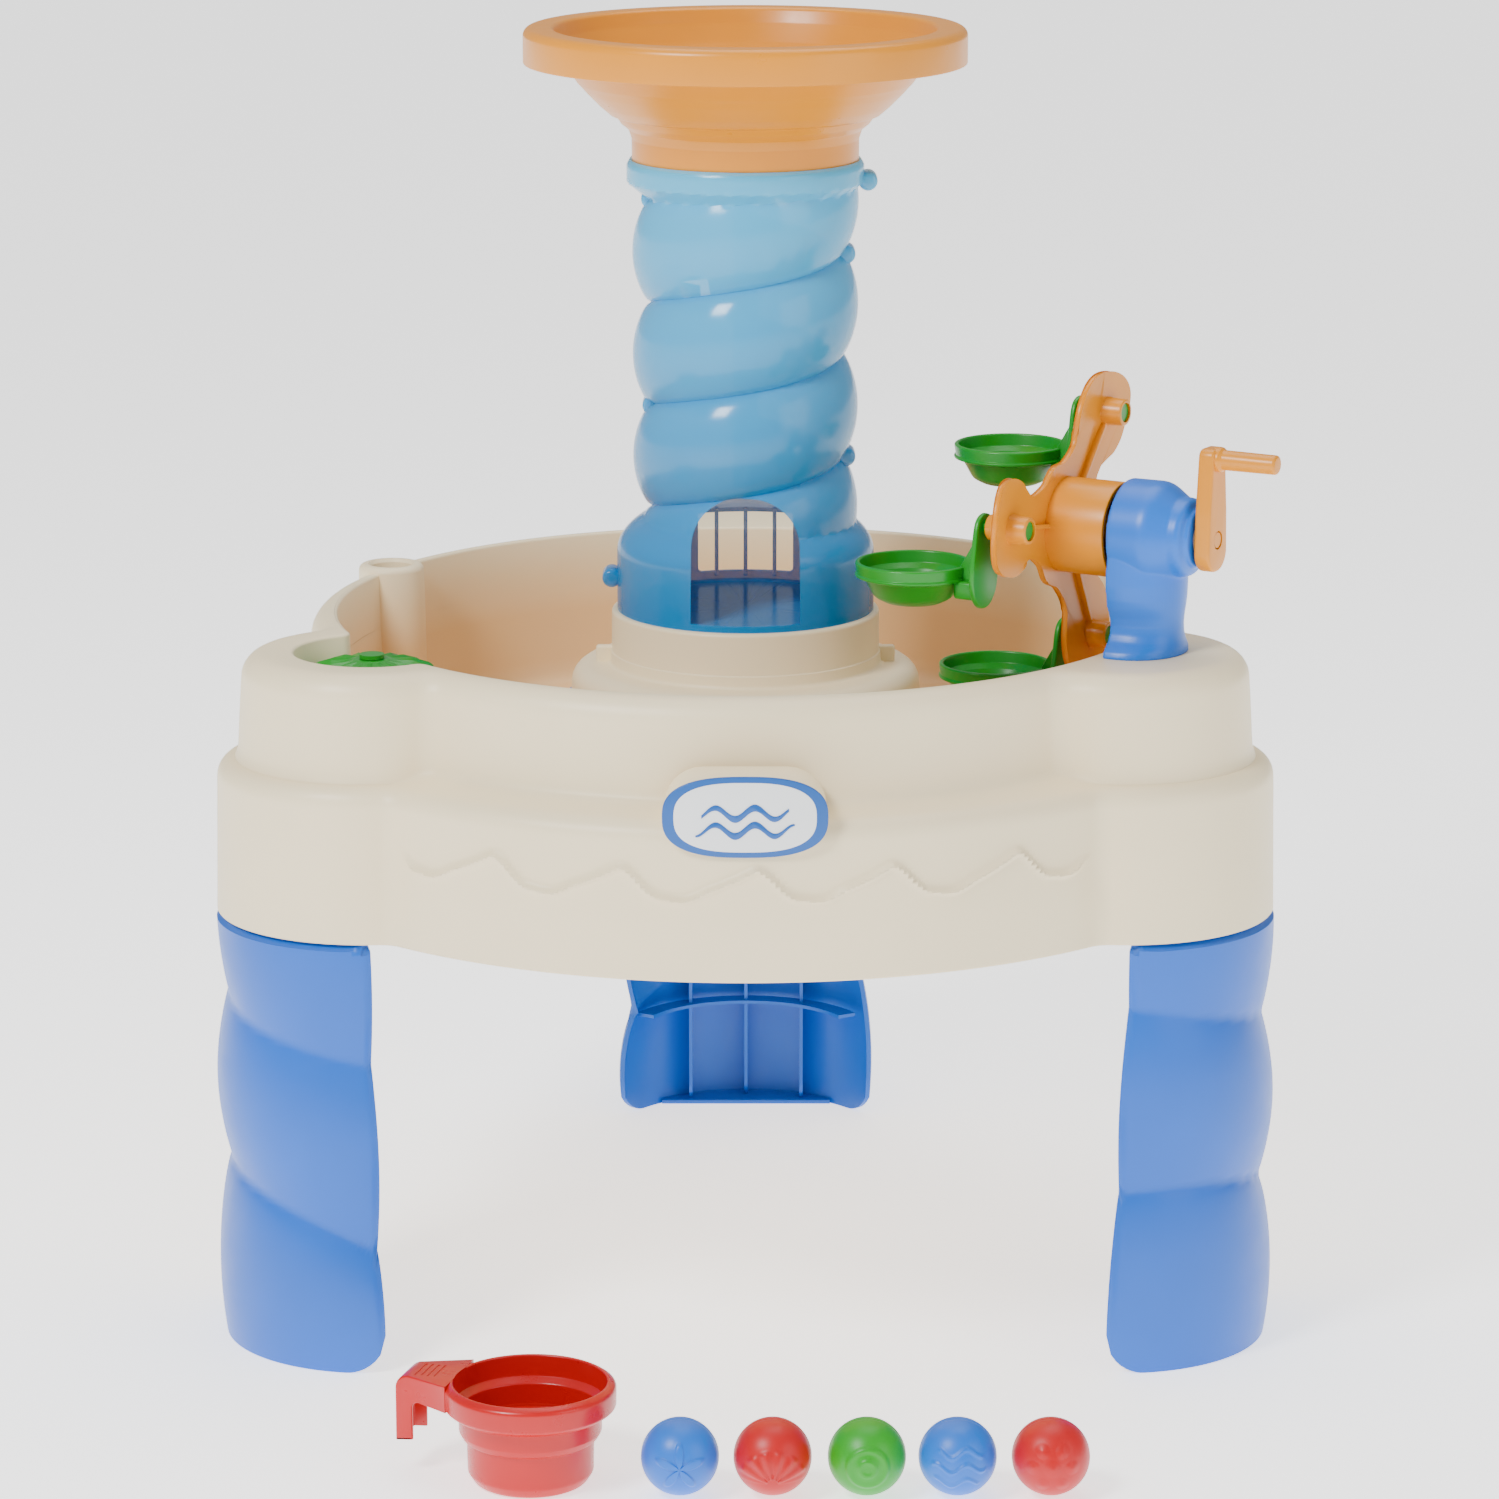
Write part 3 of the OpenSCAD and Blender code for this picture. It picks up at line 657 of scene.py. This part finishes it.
def make_plaque():
    def standing(part):
        points, faces = part
        return np.stack([points[:, 0], PLAQUE_Y - points[:, 2], points[:, 1] + PLAQUE_Z], axis=1), faces
    a = np.linspace(0, 2 * math.pi, 96, endpoint=False)
    oval = np.stack([57 * np.sign(np.cos(a)) * np.abs(np.cos(a)) ** 0.75,
                     28.5 * np.sign(np.sin(a)) * np.abs(np.sin(a)) ** 0.75], axis=1)
    piece("plaque_base", standing(plate(oval, -0.5, 2.0, 0.8)), PLAQUE_BLUE, "root",
          ["front_plaque"])
    piece("plaque_field", standing(plate(oval * 0.86, 1.6, 2.3, 0.3)), PLAQUE_WHITE, "root")
    for k, low in enumerate((-9, 3)):
        x = np.linspace(-34 + 4 * k, 34 - 4 * k, 60)
        top = low + 4 * np.sin(x / 34 * 2.5 * math.pi)
        thick = 5 * np.cos(x / 36 * math.pi / 2) ** 0.6
        below, above = (np.stack([x, top + side * thick / 2], axis=1) for side in (-1, 1))
        line = np.concatenate([below, above[::-1]])
        piece(f"plaque_wave_{k + 1}", standing(plate(line, 2.0, 2.9, 0.25, 2)), PLAQUE_BLUE, "root")


# ---------------------------------------------------------------- legs

LEG_ARC = 66
LEG_NECKS = (128, 250)
LEG_SHELVES = (86, 245)
LEG_TOP = 345
RIB_HALF = 1.4


def leg_radius(z, side):
    """Radius of the leg's shell; side runs from -1 to 1 across it, and the necks slope with it"""
    lower = LEG_NECKS[0] - 22 * side - 17 * side ** 2
    upper = LEG_NECKS[1] - 21 * side
    if z > upper:
        bulge = 8 * abs(math.sin(math.pi * (z - upper) / 130)) ** 0.8
    elif z > lower:
        bulge = 10 * abs(math.sin(math.pi * (z - lower) / (upper - lower))) ** 0.85
    else:
        bulge = 10.8 * abs(math.sin(math.pi * (lower - z) / (1.2 * lower))) ** 0.65
    waist = 104 if z > 322 else 106
    return min(waist + bulge, 108 if z > 315 else 116.8)


def leg_turn(a, z, side):
    """Draws the leg's long edges in and out with its bulges; the leading edge leans in further"""
    bulge = np.clip((leg_radius(z, side) - 106) / 11, 0, 1)
    short = (6 if a > 0 else 13) * z / LEG_TOP + 4 * (1 - bulge)
    return a * (1 - math.degrees(short / 105) / LEG_ARC)


def make_leg(name, direction):
    angles = np.linspace(-LEG_ARC, LEG_ARC, 73)
    corner = 29
    outer, inner = [], []
    for a in angles:
        side = a / LEG_ARC
        from_edge = (LEG_ARC - abs(a)) * math.pi / 180 * 115
        short = max(0, corner - from_edge)
        low = corner - math.sqrt(corner ** 2 - short ** 2)
        tuck = 2.5 * max(0, 1 - from_edge / 4) ** 2
        rows_o, rows_i = [], []
        for s in np.linspace(0, 1, 90):
            z = low + (LEG_TOP - low) * s
            r = leg_radius(z, side) - tuck
            turn = math.radians(leg_turn(a, z, math.copysign(1, a)))
            c, n = math.cos(turn), math.sin(turn)
            rows_o.append((r * c, r * n, z))
            rows_i.append(((r - 4) * c, (r - 4) * n, z))
        outer.append(rows_o)
        inner.append(rows_i)
    parts = [shell(np.array(outer), np.array(inner))]
    for y in (-46, 0, 46):
        rows = []
        for z in np.linspace(1, 318, 60):
            r = leg_radius(z, y / 105) - 2
            x1 = math.sqrt(r * r - y * y)
            low_edge = 22 if z > 12 else 22 - (12 - z)
            x0, y0, y1 = x1 - low_edge, y - RIB_HALF, y + RIB_HALF
            rows.append([(x0, y0, z), (x1, y0, z), (x1, y1, z), (x0, y1, z)])
        parts.append(capped(rows))
    turns = np.radians(np.linspace(-39, 39, 33))
    foot = [(80, -70)] + [(112 * math.cos(turn), 112 * math.sin(turn)) for turn in turns] + [(80, 70)]
    parts.append(plate(np.array(foot), 0, 3.6, 0.8))
    for shelf in LEG_SHELVES:
        rows = []
        for a in angles[2:-2]:
            z = shelf
            turn = math.radians(leg_turn(a, z, math.copysign(1, a)))
            c, n = math.cos(turn), math.sin(turn)
            rows.append([(r * c, r * n, z + rise)
                         for r, rise in ((88, -RIB_HALF), (104, -RIB_HALF), (104, RIB_HALF), (88, RIB_HALF))])
        parts.append(capped(rows))
    shift = turned(np.array([[LOBE_AT, 0, 0]]), direction)[0]
    piece(name + "_moulding", placed(joined(parts), direction, shift), LEG_BLUE, "root",
          [name], 50)


# ---------------------------------------------------------------- tower

def spiral_radius(a, z):
    phase = math.pi * (z - GROOVE_TURN0 - PITCH * a / 360) / PITCH
    return GROOVE_R + (BULGE_R - GROOVE_R) * abs(math.sin(phase)) ** 0.62


def tower_radius(a, z):
    r = spiral_radius(a, z)
    if z < 594:
        base = BASE_R * (1 if z < 550 else math.sqrt(1 - ((z - 550) / 45) ** 2))
        r = max(r, base)
    if z > 815:
        lip = COLLAR_R - (0 if z > COLLAR_Z + 2 else 0.8 + 1.2 * (COLLAR_Z + 2 - z))
        r = max(r, lip)
    return min(r, COLLAR_R - max(0, z - 838) * 0.6) if z > 815 else r


def make_tower_half(name, start):
    steps = np.arange(-172, 37) / 36
    angles = np.linspace(start, start + 180, 121)
    outer, inner = [], []
    for a in angles:
        c, s = math.cos(math.radians(a)), math.sin(math.radians(a))
        heights = np.clip(GROOVE_TURN0 + PITCH * (a / 360 + steps), RIM_Z - 1, TOWER_TOP)
        radii = [tower_radius(a, z) for z in heights]
        outer.append([(r * c, r * s, z) for r, z in zip(radii, heights)])
        inner.append([((r - TOWER_WALL) * c, (r - TOWER_WALL) * s, z) for r, z in zip(radii, heights)])
    half = to_object(name + "_moulding", shell(np.array(outer), np.array(inner)))
    front = start == 180
    y0, y1 = (-11, 0) if front else (0, 11)
    tubes, bores = [], []
    for x, z in TOWER_BOSSES:
        near, far = ((7, y0, 6.4), (7, y1)) if front else ((7, y0), (7, y1, 1.5))
        profile = rounded([(0, y0), near, far, (0, y1)])
        points, faces = spindle(profile, 32)
        tubes.append((points[:, [0, 2, 1]] + np.array([x, 0, z]), faces))
        points, faces = spindle([(0, -9), (2.05, -9), (2.05, 11), (4.4, 11), (4.4, 25), (0, 25)], 32)
        bores.append((points[:, [0, 2, 1]] + np.array([x, 0, z]), faces))
    cutters = []
    if front:
        door = rounded([(-40, 512, 0), (40, 512, 0), (39.5, 602, 36), (-39.5, 602, 36)], closed=True, step=6)
        points, faces = plate(door, 55, 125, 0.01)
        cutters.append((np.stack([points[:, 0], -points[:, 2], points[:, 1]], axis=1), faces))
    else:
        window = rounded([(-36, 516, 3), (36, 516, 3), (36, 562, 3), (-36, 562, 3)], closed=True, step=15)
        points, faces = plate(window, 60, 120, 0.01)
        cutters.append((np.stack([points[:, 0], points[:, 2], points[:, 1]], axis=1), faces))
    combine(half, cutters, "DIFFERENCE")
    combine(half, tubes, "UNION")
    combine(half, bores, "DIFFERENCE")
    if not front:
        bars = [box((x - 1.5, 84, 513), (x + 1.5, 93.5, 565), 1) for x in (-22, 0, 22)]
        lugs = []
        for low, high in ((720, 726), (745, 751)):
            lug = rounded([(66, -9), (102, -9, 9), (102, 9, 9), (66, 9)], closed=True, step=12)
            lugs.append(placed(plate(lug, low, high, 1), 125))
        floor = spindle([(0, RIM_Z - 1), (92, RIM_Z - 1), (92, RIM_Z + 2), (0, RIM_Z + 2)], 96)
        combine(half, bars + lugs + [floor], "UNION")
        slot = placed(box((50, -20, 729), (85, 7, 742), 1.5), 125)
        pin = placed(spindle([(0, 700), (3.05, 700), (3.05, 780), (0, 780)], 24), 0,
                     turned(np.array([[93, 0, 0]]), 125)[0])
        combine(half, [slot, pin], "DIFFERENCE")
    finished(half, TOWER_BLUE, "root", [name], 35)


def make_ramp():
    turns = np.linspace(1, 3.7, 180)
    top, under = [], []
    for t in turns:
        a = math.radians(270 + 360 * t)
        z = 527 + PITCH * t
        row_top, row_under = [], []
        for r in np.linspace(63.6, 8.2, 8):
            dish = 2.2 * ((r - 36) / 28) ** 2
            row_top.append((r * math.cos(a), r * math.sin(a), z - 2 + dish))
            row_under.append((r * math.cos(a), r * math.sin(a), z - 4.4 + dish))
        top.append(row_top)
        under.append(row_under)
    core = spindle(rounded([(0, 597), (9, 597, 3), (9, 826, 3), (3, 827.2, 1), (0, 827.2)]), 40)
    piece("ramp_moulding", joined([shell(np.array(top), np.array(under)), core]), RAMP_BLUE,
          "root", ["spiral_ramp"])


def make_funnel():
    r, top = FUNNEL_R, FUNNEL_TOP
    profile = rounded([
        (83, 832, 0.5), (83.2, 857, 2), (85.5, 864, 3), (91, 868.5, 2), (94.5, 873.5, 1.5), (99, 875, 1.5),
        (106, 881, 6), (116, 891, 3), (120, 895.5, 2), (122.5, 898, 1.5), (133, 913, 6), (142, 931, 2),
        (r - 4, 932, 3), (r - 3, 912, 0.8),
        (r, 912, 1), (r, top, 6), (140, top, 4), (136, 927, 8), (128, 913, 10), (117, 898, 3), (104, 883, 12),
        (90, 873, 6), (60, 862, 30), (34, 857, 6), (31, 851, 0.8), (33.5, 851, 0.8), (60, 857, 8),
        (79.5, 863, 3),
        (79.5, 832, 0.5)], closed=True, step=12)
    piece("funnel_moulding", lathe(profile, 160), ORANGE, "root", ["funnel"], 35)


# ---------------------------------------------------------------- spinner

def make_spinner():
    centre = turned(np.array([[POCKET_AT, 0, 0]]), LOBE_DIRS[0])[0]
    profile = rounded([
        (5.2, 470), (9, 470), (9, 492, 3), (46, 482, 6), (46.4, 472), (49.5, 472), (49.5, 487, 3),
        (45, 493.5, 8), (30, 498.5, 10), (14, 501, 3), (12, 501.6, 1), (5.2, 501.6)], closed=True, step=12)
    segments = 192
    rows = []
    for k in range(segments):
        a = 2 * math.pi * k / segments
        ridge = max(0, math.cos(16 * a)) ** 2
        r, h = profile[:, 0].copy(), profile[:, 1].copy()
        share = np.clip((r - 16) / 6, 0, 1) * np.clip((49.6 - r) / 3, 0, 1) * (h > 488)
        h = h + 2.6 * ridge * share - 1.2 * share
        rows.append(np.stack([r * math.cos(a), r * math.sin(a), h], axis=1))
    part = grid(np.array(rows), wrap_rows=True, wrap_cols=True)
    piece("spinner_disc", placed(part, 0, centre), GREEN, "spinner", ["spinner"], 45)


# ---------------------------------------------------------------- wheel

def make_post():
    x0, x1 = POST_X
    half_widths = [(-86, 40.5), (-81, 38.5), (-75, 32), (-70, 29), (-64, 28), (-58, 29.5), (-50, 33.5),
                   (-44, 35.5), (-34, 36.5), (-20, 36), (0, 35)]
    levels = np.linspace(-86, 0, 40)
    widths = np.interp(levels, [p[0] for p in half_widths], [p[1] for p in half_widths])

    def column(inset, front, low):
        rows = []
        for z, w in zip(levels, widths):
            depth = 38.5 + 0.14 * w - inset
            a = np.linspace(-math.pi / 2, math.pi / 2, 33)
            flat = np.stack([x0 + depth * np.cos(a) ** 0.75, (w - inset) * np.sin(a)], axis=1)
            flat[[0, -1], 0] = x0 + front
            rows.append(np.column_stack([flat, np.full(len(flat), max(z, low))]))
        return capped(rows)

    head = spindle(rounded([(0, x0), (38, x0, 0.8), (38.3, x0 + 28, 16), (28.5, x0 + 43, 2), (28, x0 + 51, 6),
                          (21.5, x0 + 53.5, 1), (21, x0 + 56.5, 1.2), (0, x0 + 56.5)]), 96, "x")
    post = to_object("post_moulding", on_wheel(column(0, 0, -86)))
    combine(post, [on_wheel(head)], "UNION")
    blended(post, 1.1, 4)
    hollow = spindle(rounded([(0, x0 - 5), (33.5, x0 - 5), (33.5, x0 + 22, 12), (24, x0 + 38, 4),
                              (0, x0 + 38)]), 64, "x")
    cut = column(4.5, -5, -81.5)
    bore = spindle([(0, x0 - 8), (12, x0 - 8), (12, x0 + 62), (0, x0 + 62)], 48, "x")
    combine(post, [on_wheel(cut), on_wheel(hollow)], "DIFFERENCE")
    tube = spindle([(0, x0 + 1), (17, x0 + 1), (17, x0 + 45), (0, x0 + 45)], 64, "x")
    combine(post, [on_wheel(tube)], "UNION")
    combine(post, [on_wheel(bore)], "DIFFERENCE")
    finished(post, POST_BLUE, "root", ["wheel_post"], 45)


ARM_OUTLINE = ((20, 36), (34, 28), (46, 22.5), (56, 22), (66, 28.5), (79, 33), (94, 32), (108, 25.5),
               (118, 12), (122, -4), (119, -19), (109, -29.5), (94, -34), (79, -31.5), (69, -25.5),
               (60, -20.5), (50, -21), (36, -27), (20, -36))


def make_spider():
    hub = lathe(rounded([
        (0, 252), (10, 252, 1), (12, 256, 1), (30, 257, 3), (34.5, 262, 3), (34.5, 308, 1), (31, 308, 0.6),
        (31, 266, 2), (14, 266, 1), (14, 308, 0.6), (8, 308), (8, 259), (2.5, 259), (2.5, 252)], closed=True),
        96, "x")
    arms = []
    arm = curve_through(ARM_OUTLINE, 6)
    for i in range(3):
        points, faces = facing_x(plate(inward(arm, 0), 258, 262.6, 1.6))
        beyond = np.clip(points[:, 1] - PIVOT_R, -30, 30)
        points[:, 0] += 5 * (np.clip(beyond, 0, 30) / 25) ** 2
        points[:, 0] += 1.5 * (points[:, 2] / 30) ** 2 * (points[:, 1] > 60)
        arms.append(on_wheel((points, faces), FIRST_ARM + 120 * i))
        rib = box((262, 30, -1.5), (269, PIVOT_R - 8, 1.5), 0.9)
        rib[0][:, 0] -= np.clip((PIVOT_R - 10 - rib[0][:, 1]) / 60, 0, 1) * 3 * (rib[0][:, 0] > 265)
        arms.append(on_wheel(rib, FIRST_ARM + 120 * i))
        boss = spindle(rounded([(0, 249), (9, 249, 1), (9.5, 258), (11.5, 262.5, 3), (10, 270),
                                (9.6, 281, 1.2), (0, 281)]),
                     48, "x")
        boss = (boss[0] + np.array([0, PIVOT_R, 0]), boss[1])
        arms.append(on_wheel(boss, FIRST_ARM + 120 * i))
    spider = to_object("spider_moulding", on_wheel(hub))
    combine(spider, arms, "UNION")
    bores = []
    for i in range(3):
        bore = spindle([(0, 240), (5.05, 240), (5.05, 273), (7.2, 273), (7.2, 290), (0, 290)], 40, "x")
        bores.append(on_wheel((bore[0] + np.array([0, PIVOT_R, 0]), bore[1]), FIRST_ARM + 120 * i))
    combine(spider, bores, "DIFFERENCE")
    finished(spider, ORANGE, "wheel", ["wheel_spider"], 40)


def make_crank():
    x0, x1 = CRANK_X
    arm = rounded([(-16, -23, 15), (16, -23, 15), (14.5, 20, 40), (10, CRANK_THROW + 8, 4),
                   (-10, CRANK_THROW + 8, 6), (-14.5, 20, 40)], closed=True, step=8)
    crank = to_object("crank_moulding", on_wheel(facing_x(plate(arm, x0, x1, 2.2))))
    grip = spindle(rounded([(0, x1 - 3), (9, x1 - 3), (9, x1 + 2, 2), (7.2, x1 + 4, 2), (7, GRIP_END, 2),
                            (0, GRIP_END)]),
                 48, "x")
    combine(crank, [on_wheel((grip[0] + np.array([0, 0, CRANK_THROW]), grip[1]))], "UNION")
    recess = spindle([(0, x1 - 3), (6.7, x1 - 3), (6.7, x1 + 3), (0, x1 + 3)], 48, "x")
    bore = spindle([(0, x0 - 2), (8, x0 - 2), (8, x1 - 3), (0, x1 - 3)], 48, "x")
    combine(crank, [on_wheel(recess), on_wheel(bore)], "DIFFERENCE")
    finished(crank, ORANGE, "wheel", ["crank"], 40)


def make_cup(i):
    a = math.radians(FIRST_ARM + 120 * i)
    pivot = (PIVOT_R * math.cos(a), PIVOT_R * math.sin(a))
    bowl = spindle(rounded([
        (0, -30), (20, -30, 6), (28, -26, 8), (35.5, -12.5, 1), (38.5, -11.5, 0.8), (41.6, -10.8, 0.6),
        (41.9, -9.4, 0.6), (40.6, -8.4, 0.6), (41.8, -0.8, 1.4), (38.6, 0, 1.4), (37.4, -9, 1),
        (33, -12.5, 2), (26.5, -24, 6), (19, -27.4, 4),
        (0, -27.4)], step=20),
        96)
    bowl = (bowl[0] + np.array([CUP_X, 0, -CUP_DROP]), bowl[1])
    side = [(8, 7), (12.5, 0), (15.5, -14), (19, -32), (17.5, -46), (10, -56)]
    other_side = [(-x, y) for x, y in side[::-1]]
    hanger_line = curve_through([(0, 9.5), *side, (0, -59), *other_side], 6)[::-1]
    hanger = facing_x(plate(hanger_line, 242, 246, 1.4))
    web_line = rounded([(243, 4, 2), (236, -14, 12), (226, -31, 2), (226, -41, 1), (231, -52, 6),
                        (243, -54, 2)], closed=True)
    points, faces = plate(web_line, -2.2, 2.2, 0.9)
    web = (points[:, [0, 2, 1]], faces)
    block = box((224, -9, -53), (243, 9, -40), 3)
    pin = spindle(rounded([(0, 244), (5, 244), (5, 279, 1), (0, 279)]), 40, "x")
    parts = [on_wheel(p, 0, pivot) for p in (bowl, hanger, web, block, pin)]
    cup = to_object(f"cup_{i + 1}_moulding", parts[0])
    combine(cup, parts[1:], "UNION")
    finished(cup, GREEN, f"cup_{i + 1}", [f"cup_{i + 1}"], 40)


# ---------------------------------------------------------------- loose toys

def make_scoop():
    bowl = spindle(rounded([
        (0, 0), (38, 0, 6), (43, 8, 5), (43.4, 31, 1), (46.5, 32.5, 2.5), (48.8, 37, 3), (48.8, 49, 1),
        (54, 50.5, 2), (58.6, 54, 3), (58.8, 68, 4), (54, 71, 2.5), (52.3, 70.5, 1.5), (51.6, 56, 2),
        (46.2, 52, 2), (46, 37, 2), (40.6, 34, 2), (40.2, 8, 5), (36, 3, 3), (0, 3)], step=12), 128)
    arm_line = rounded([(51, 52), (80, 52, 4), (80, 25, 0.5), (92, 24, 0.5), (92, 71, 9), (51, 71)],
                       closed=True)
    points, faces = plate(arm_line, -16, 16, 1.4)
    flare = np.clip((66 - points[:, 0]) / 15, 0, 1) ** 2
    points[:, 2] += 14 * flare * np.sign(points[:, 2]) * (np.abs(points[:, 2]) > 8)
    handle = (points[:, [0, 2, 1]], faces)
    scoop = to_object("scoop_moulding", bowl)
    combine(scoop, [handle], "UNION")
    inner_line = rounded([(62, 46), (77, 46, 1), (77, 20, 0.5), (89.4, 20, 0.5), (89.4, 68.4, 6),
                          (62, 68.4, 2)], closed=True)
    points, faces = plate(inner_line, -13.4, 13.4, 0.8)
    grooves = [box((64 + 4.5 * k, -11.5, 70.3), (65.8 + 4.5 * k, 11.5, 74), 0.5) for k in range(4)]
    mouth = spindle([(0, 30), (45.8, 36), (46, 52), (51.5, 56), (52.2, 75), (0, 75)], 128)
    combine(scoop, [(points[:, [0, 2, 1]], faces), mouth, *grooves], "DIFFERENCE")
    scoop.data.transform(Matrix.Translation((SCOOP_POS[0] / 1000, SCOOP_POS[1] / 1000, 0))
                         @ Matrix.Rotation(math.radians(SCOOP_DIR), 4, "Z"))
    finished(scoop, RED, "scoop", ["scoop"], 40)


def ring_motif(x, y):
    d = math.hypot(x, y)
    return max(0, 1 - abs(d - 10) / 2.2) + max(0, 1 - abs(d - 4) / 2)


def star_motif(x, y):
    d, a = math.hypot(x, y), math.atan2(y, x)
    return max(0, min(1, (8 + 6 * math.cos(5 * (a - math.pi / 2)) - d) / 2.2))


def shell_motif(x, y):
    d, a = math.hypot(x, y + 9), math.atan2(y + 9, x)
    fan = max(0, min(1, (19 - d) / 2, (math.pi / 2 + 0.95 - abs(a - math.pi / 2) - 0.95) * 4))
    return fan * (0.55 + 0.45 * math.cos(14 * a)) * (d > 3)


def wave_motif(x, y):
    out = 0
    for k in (-8, 0, 8):
        out = max(out, 1 - abs(y - k - 2.2 * math.sin(x / 2.6)) / 1.8)
    return max(0, out) * max(0, min(1, (15 - math.hypot(x, y)) / 2))


def drop_motif(x, y):
    out = 0
    for k in range(6):
        a = math.pi * k / 3
        out = max(out, 1 - math.hypot(x - 10.5 * math.cos(a), y - 10.5 * math.sin(a)) / 4)
    return max(0, out, 1 - math.hypot(x, y) / 5)


BALLS = ((-44, BALL_BLUE, "ball_blue", star_motif), (18.6, BALL_RED, "ball_red", shell_motif),
         (82.3, BALL_GREEN, "ball_green", ring_motif), (143.6, BALL_BLUE, "ball_blue", wave_motif),
         (206.6, BALL_RED, "ball_red", drop_motif))
BALL_Y = -508


def make_ball(number, x, material, motif):
    rows = []
    for i in range(91):
        polar = math.pi * i / 90
        row = []
        for k in range(180):
            turn = 2 * math.pi * k / 180
            n = (math.sin(polar) * math.cos(turn), -math.cos(polar), math.sin(polar) * math.sin(turn))
            raised = motif(n[0] * 21, n[2] * 21) if n[1] < -0.2 else 0
            seam = 0.4 * math.exp(-(n[1] * BALL_R / 0.7) ** 2)
            r = BALL_R - 1.2 + 1.2 * min(1, raised) - seam
            row.append((n[0] * r, n[1] * r, n[2] * r))
        rows.append(row)
    part = grid(np.array(rows), wrap_cols=True)
    piece(f"ball_{number}_skin", placed(part, 0, (x, BALL_Y, BALL_R)), material, f"ball_{number}",
          [f"ball_{number}"], 60)


# ---------------------------------------------------------------- CAD nodes that stay

def dress(node, material, bevel=0.4):
    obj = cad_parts[node]
    obj.data.materials.clear()
    obj.data.materials.append(material)
    edge = obj.modifiers.new("edge", "BEVEL")
    edge.width = bevel / 1000
    edge.segments = 3
    edge.limit_method = "ANGLE"
    edge.angle_limit = math.radians(40)
    edge.harden_normals = True


def dress_all():
    for node in ("leg_screws", "tower_screws", "post_screws", "hub_screw", "lever_pin", "wheel_shaft"):
        dress(node, STEEL, 0.5)
    dress("spinner_pin", GREEN, 0.5)
    dress("crank_screw", ORANGE, 0.5)
    dress("gate_lever", ORANGE, 1.2)
    dress("drain_plug", POST_BLUE, 0.8)
    dress("plug_seal", SEAL_BLACK, 0.5)
    dress("wheel_bush", BUSH_WHITE, 0.4)
    for i in (1, 2, 3):
        dress(f"cup_cap_{i}", GREEN, 0.5)


# ---------------------------------------------------------------- stage

def add_area(name, place, size, power, aim=(0, 0, 0.45)):
    """A soft rectangular light; metres and watts"""
    light = bpy.data.lights.new(name, "AREA")
    light.shape = "RECTANGLE"
    light.size, light.size_y = size
    light.energy = power
    obj = bpy.data.objects.new(name, light)
    obj.location = place
    obj.rotation_euler = (Vector(aim) - Vector(place)).to_track_quat("-Z", "Y").to_euler()
    bpy.context.scene.collection.objects.link(obj)


def make_stage():
    pale = plastic("pale_floor", srgb(250, 250, 250), 0.75, 0.005, 300, 0.02)
    corners = [[(x, y, -0.3) for x in (-FLOOR_REACH, FLOOR_REACH)] for y in (-FLOOR_REACH, FLOOR_REACH)]
    floor = to_object("floor", grid(np.array(corners, float)))
    glow = pale.node_tree.nodes["Principled BSDF"]
    glow.inputs["Emission Color"].default_value = (1, 1, 1, 1)
    glow.inputs["Emission Strength"].default_value = 1.5
    floor.data.materials.append(pale)
    world = bpy.data.worlds.new("studio")
    world.use_nodes = True
    world.node_tree.nodes["Background"].inputs["Color"].default_value = (1, 1, 1, 1)
    world.node_tree.nodes["Background"].inputs["Strength"].default_value = 0.42
    bpy.context.scene.world = world
    add_area("key_light", (-1.7, -2.2, 2.8), (0.9, 0.9), 105)
    add_area("fill_light", (2.4, -2.0, 1.6), (1.8, 1.8), 20)
    add_area("top_light", (0.2, 0.6, 3.0), (2.0, 2.0), 40)
    camera = bpy.data.cameras.new("camera")
    camera.sensor_width = 36
    camera.lens = CAMERA_LENS
    obj = bpy.data.objects.new("camera", camera)
    obj.location = CAMERA_AT
    obj.rotation_euler = (math.radians(90 - CAMERA_DOWN), 0, 0)
    bpy.context.scene.collection.objects.link(obj)
    bpy.context.scene.camera = obj


make_stage()
make_tray()
make_plaque()
for leg_name, leg_direction in zip(("leg_left", "leg_right", "leg_rear"), LOBE_DIRS):
    make_leg(leg_name, leg_direction)
make_tower_half("tower_front", 180)
make_tower_half("tower_back", 0)
make_ramp()
make_funnel()
make_spinner()
make_post()
make_spider()
make_crank()
for cup_index in range(3):
    make_cup(cup_index)
make_scoop()
for ball_number, (ball_x, ball_material, ball_slot, ball_motif) in enumerate(BALLS, 1):
    make_ball(ball_number, ball_x, ball_material, ball_motif)
dress_all()
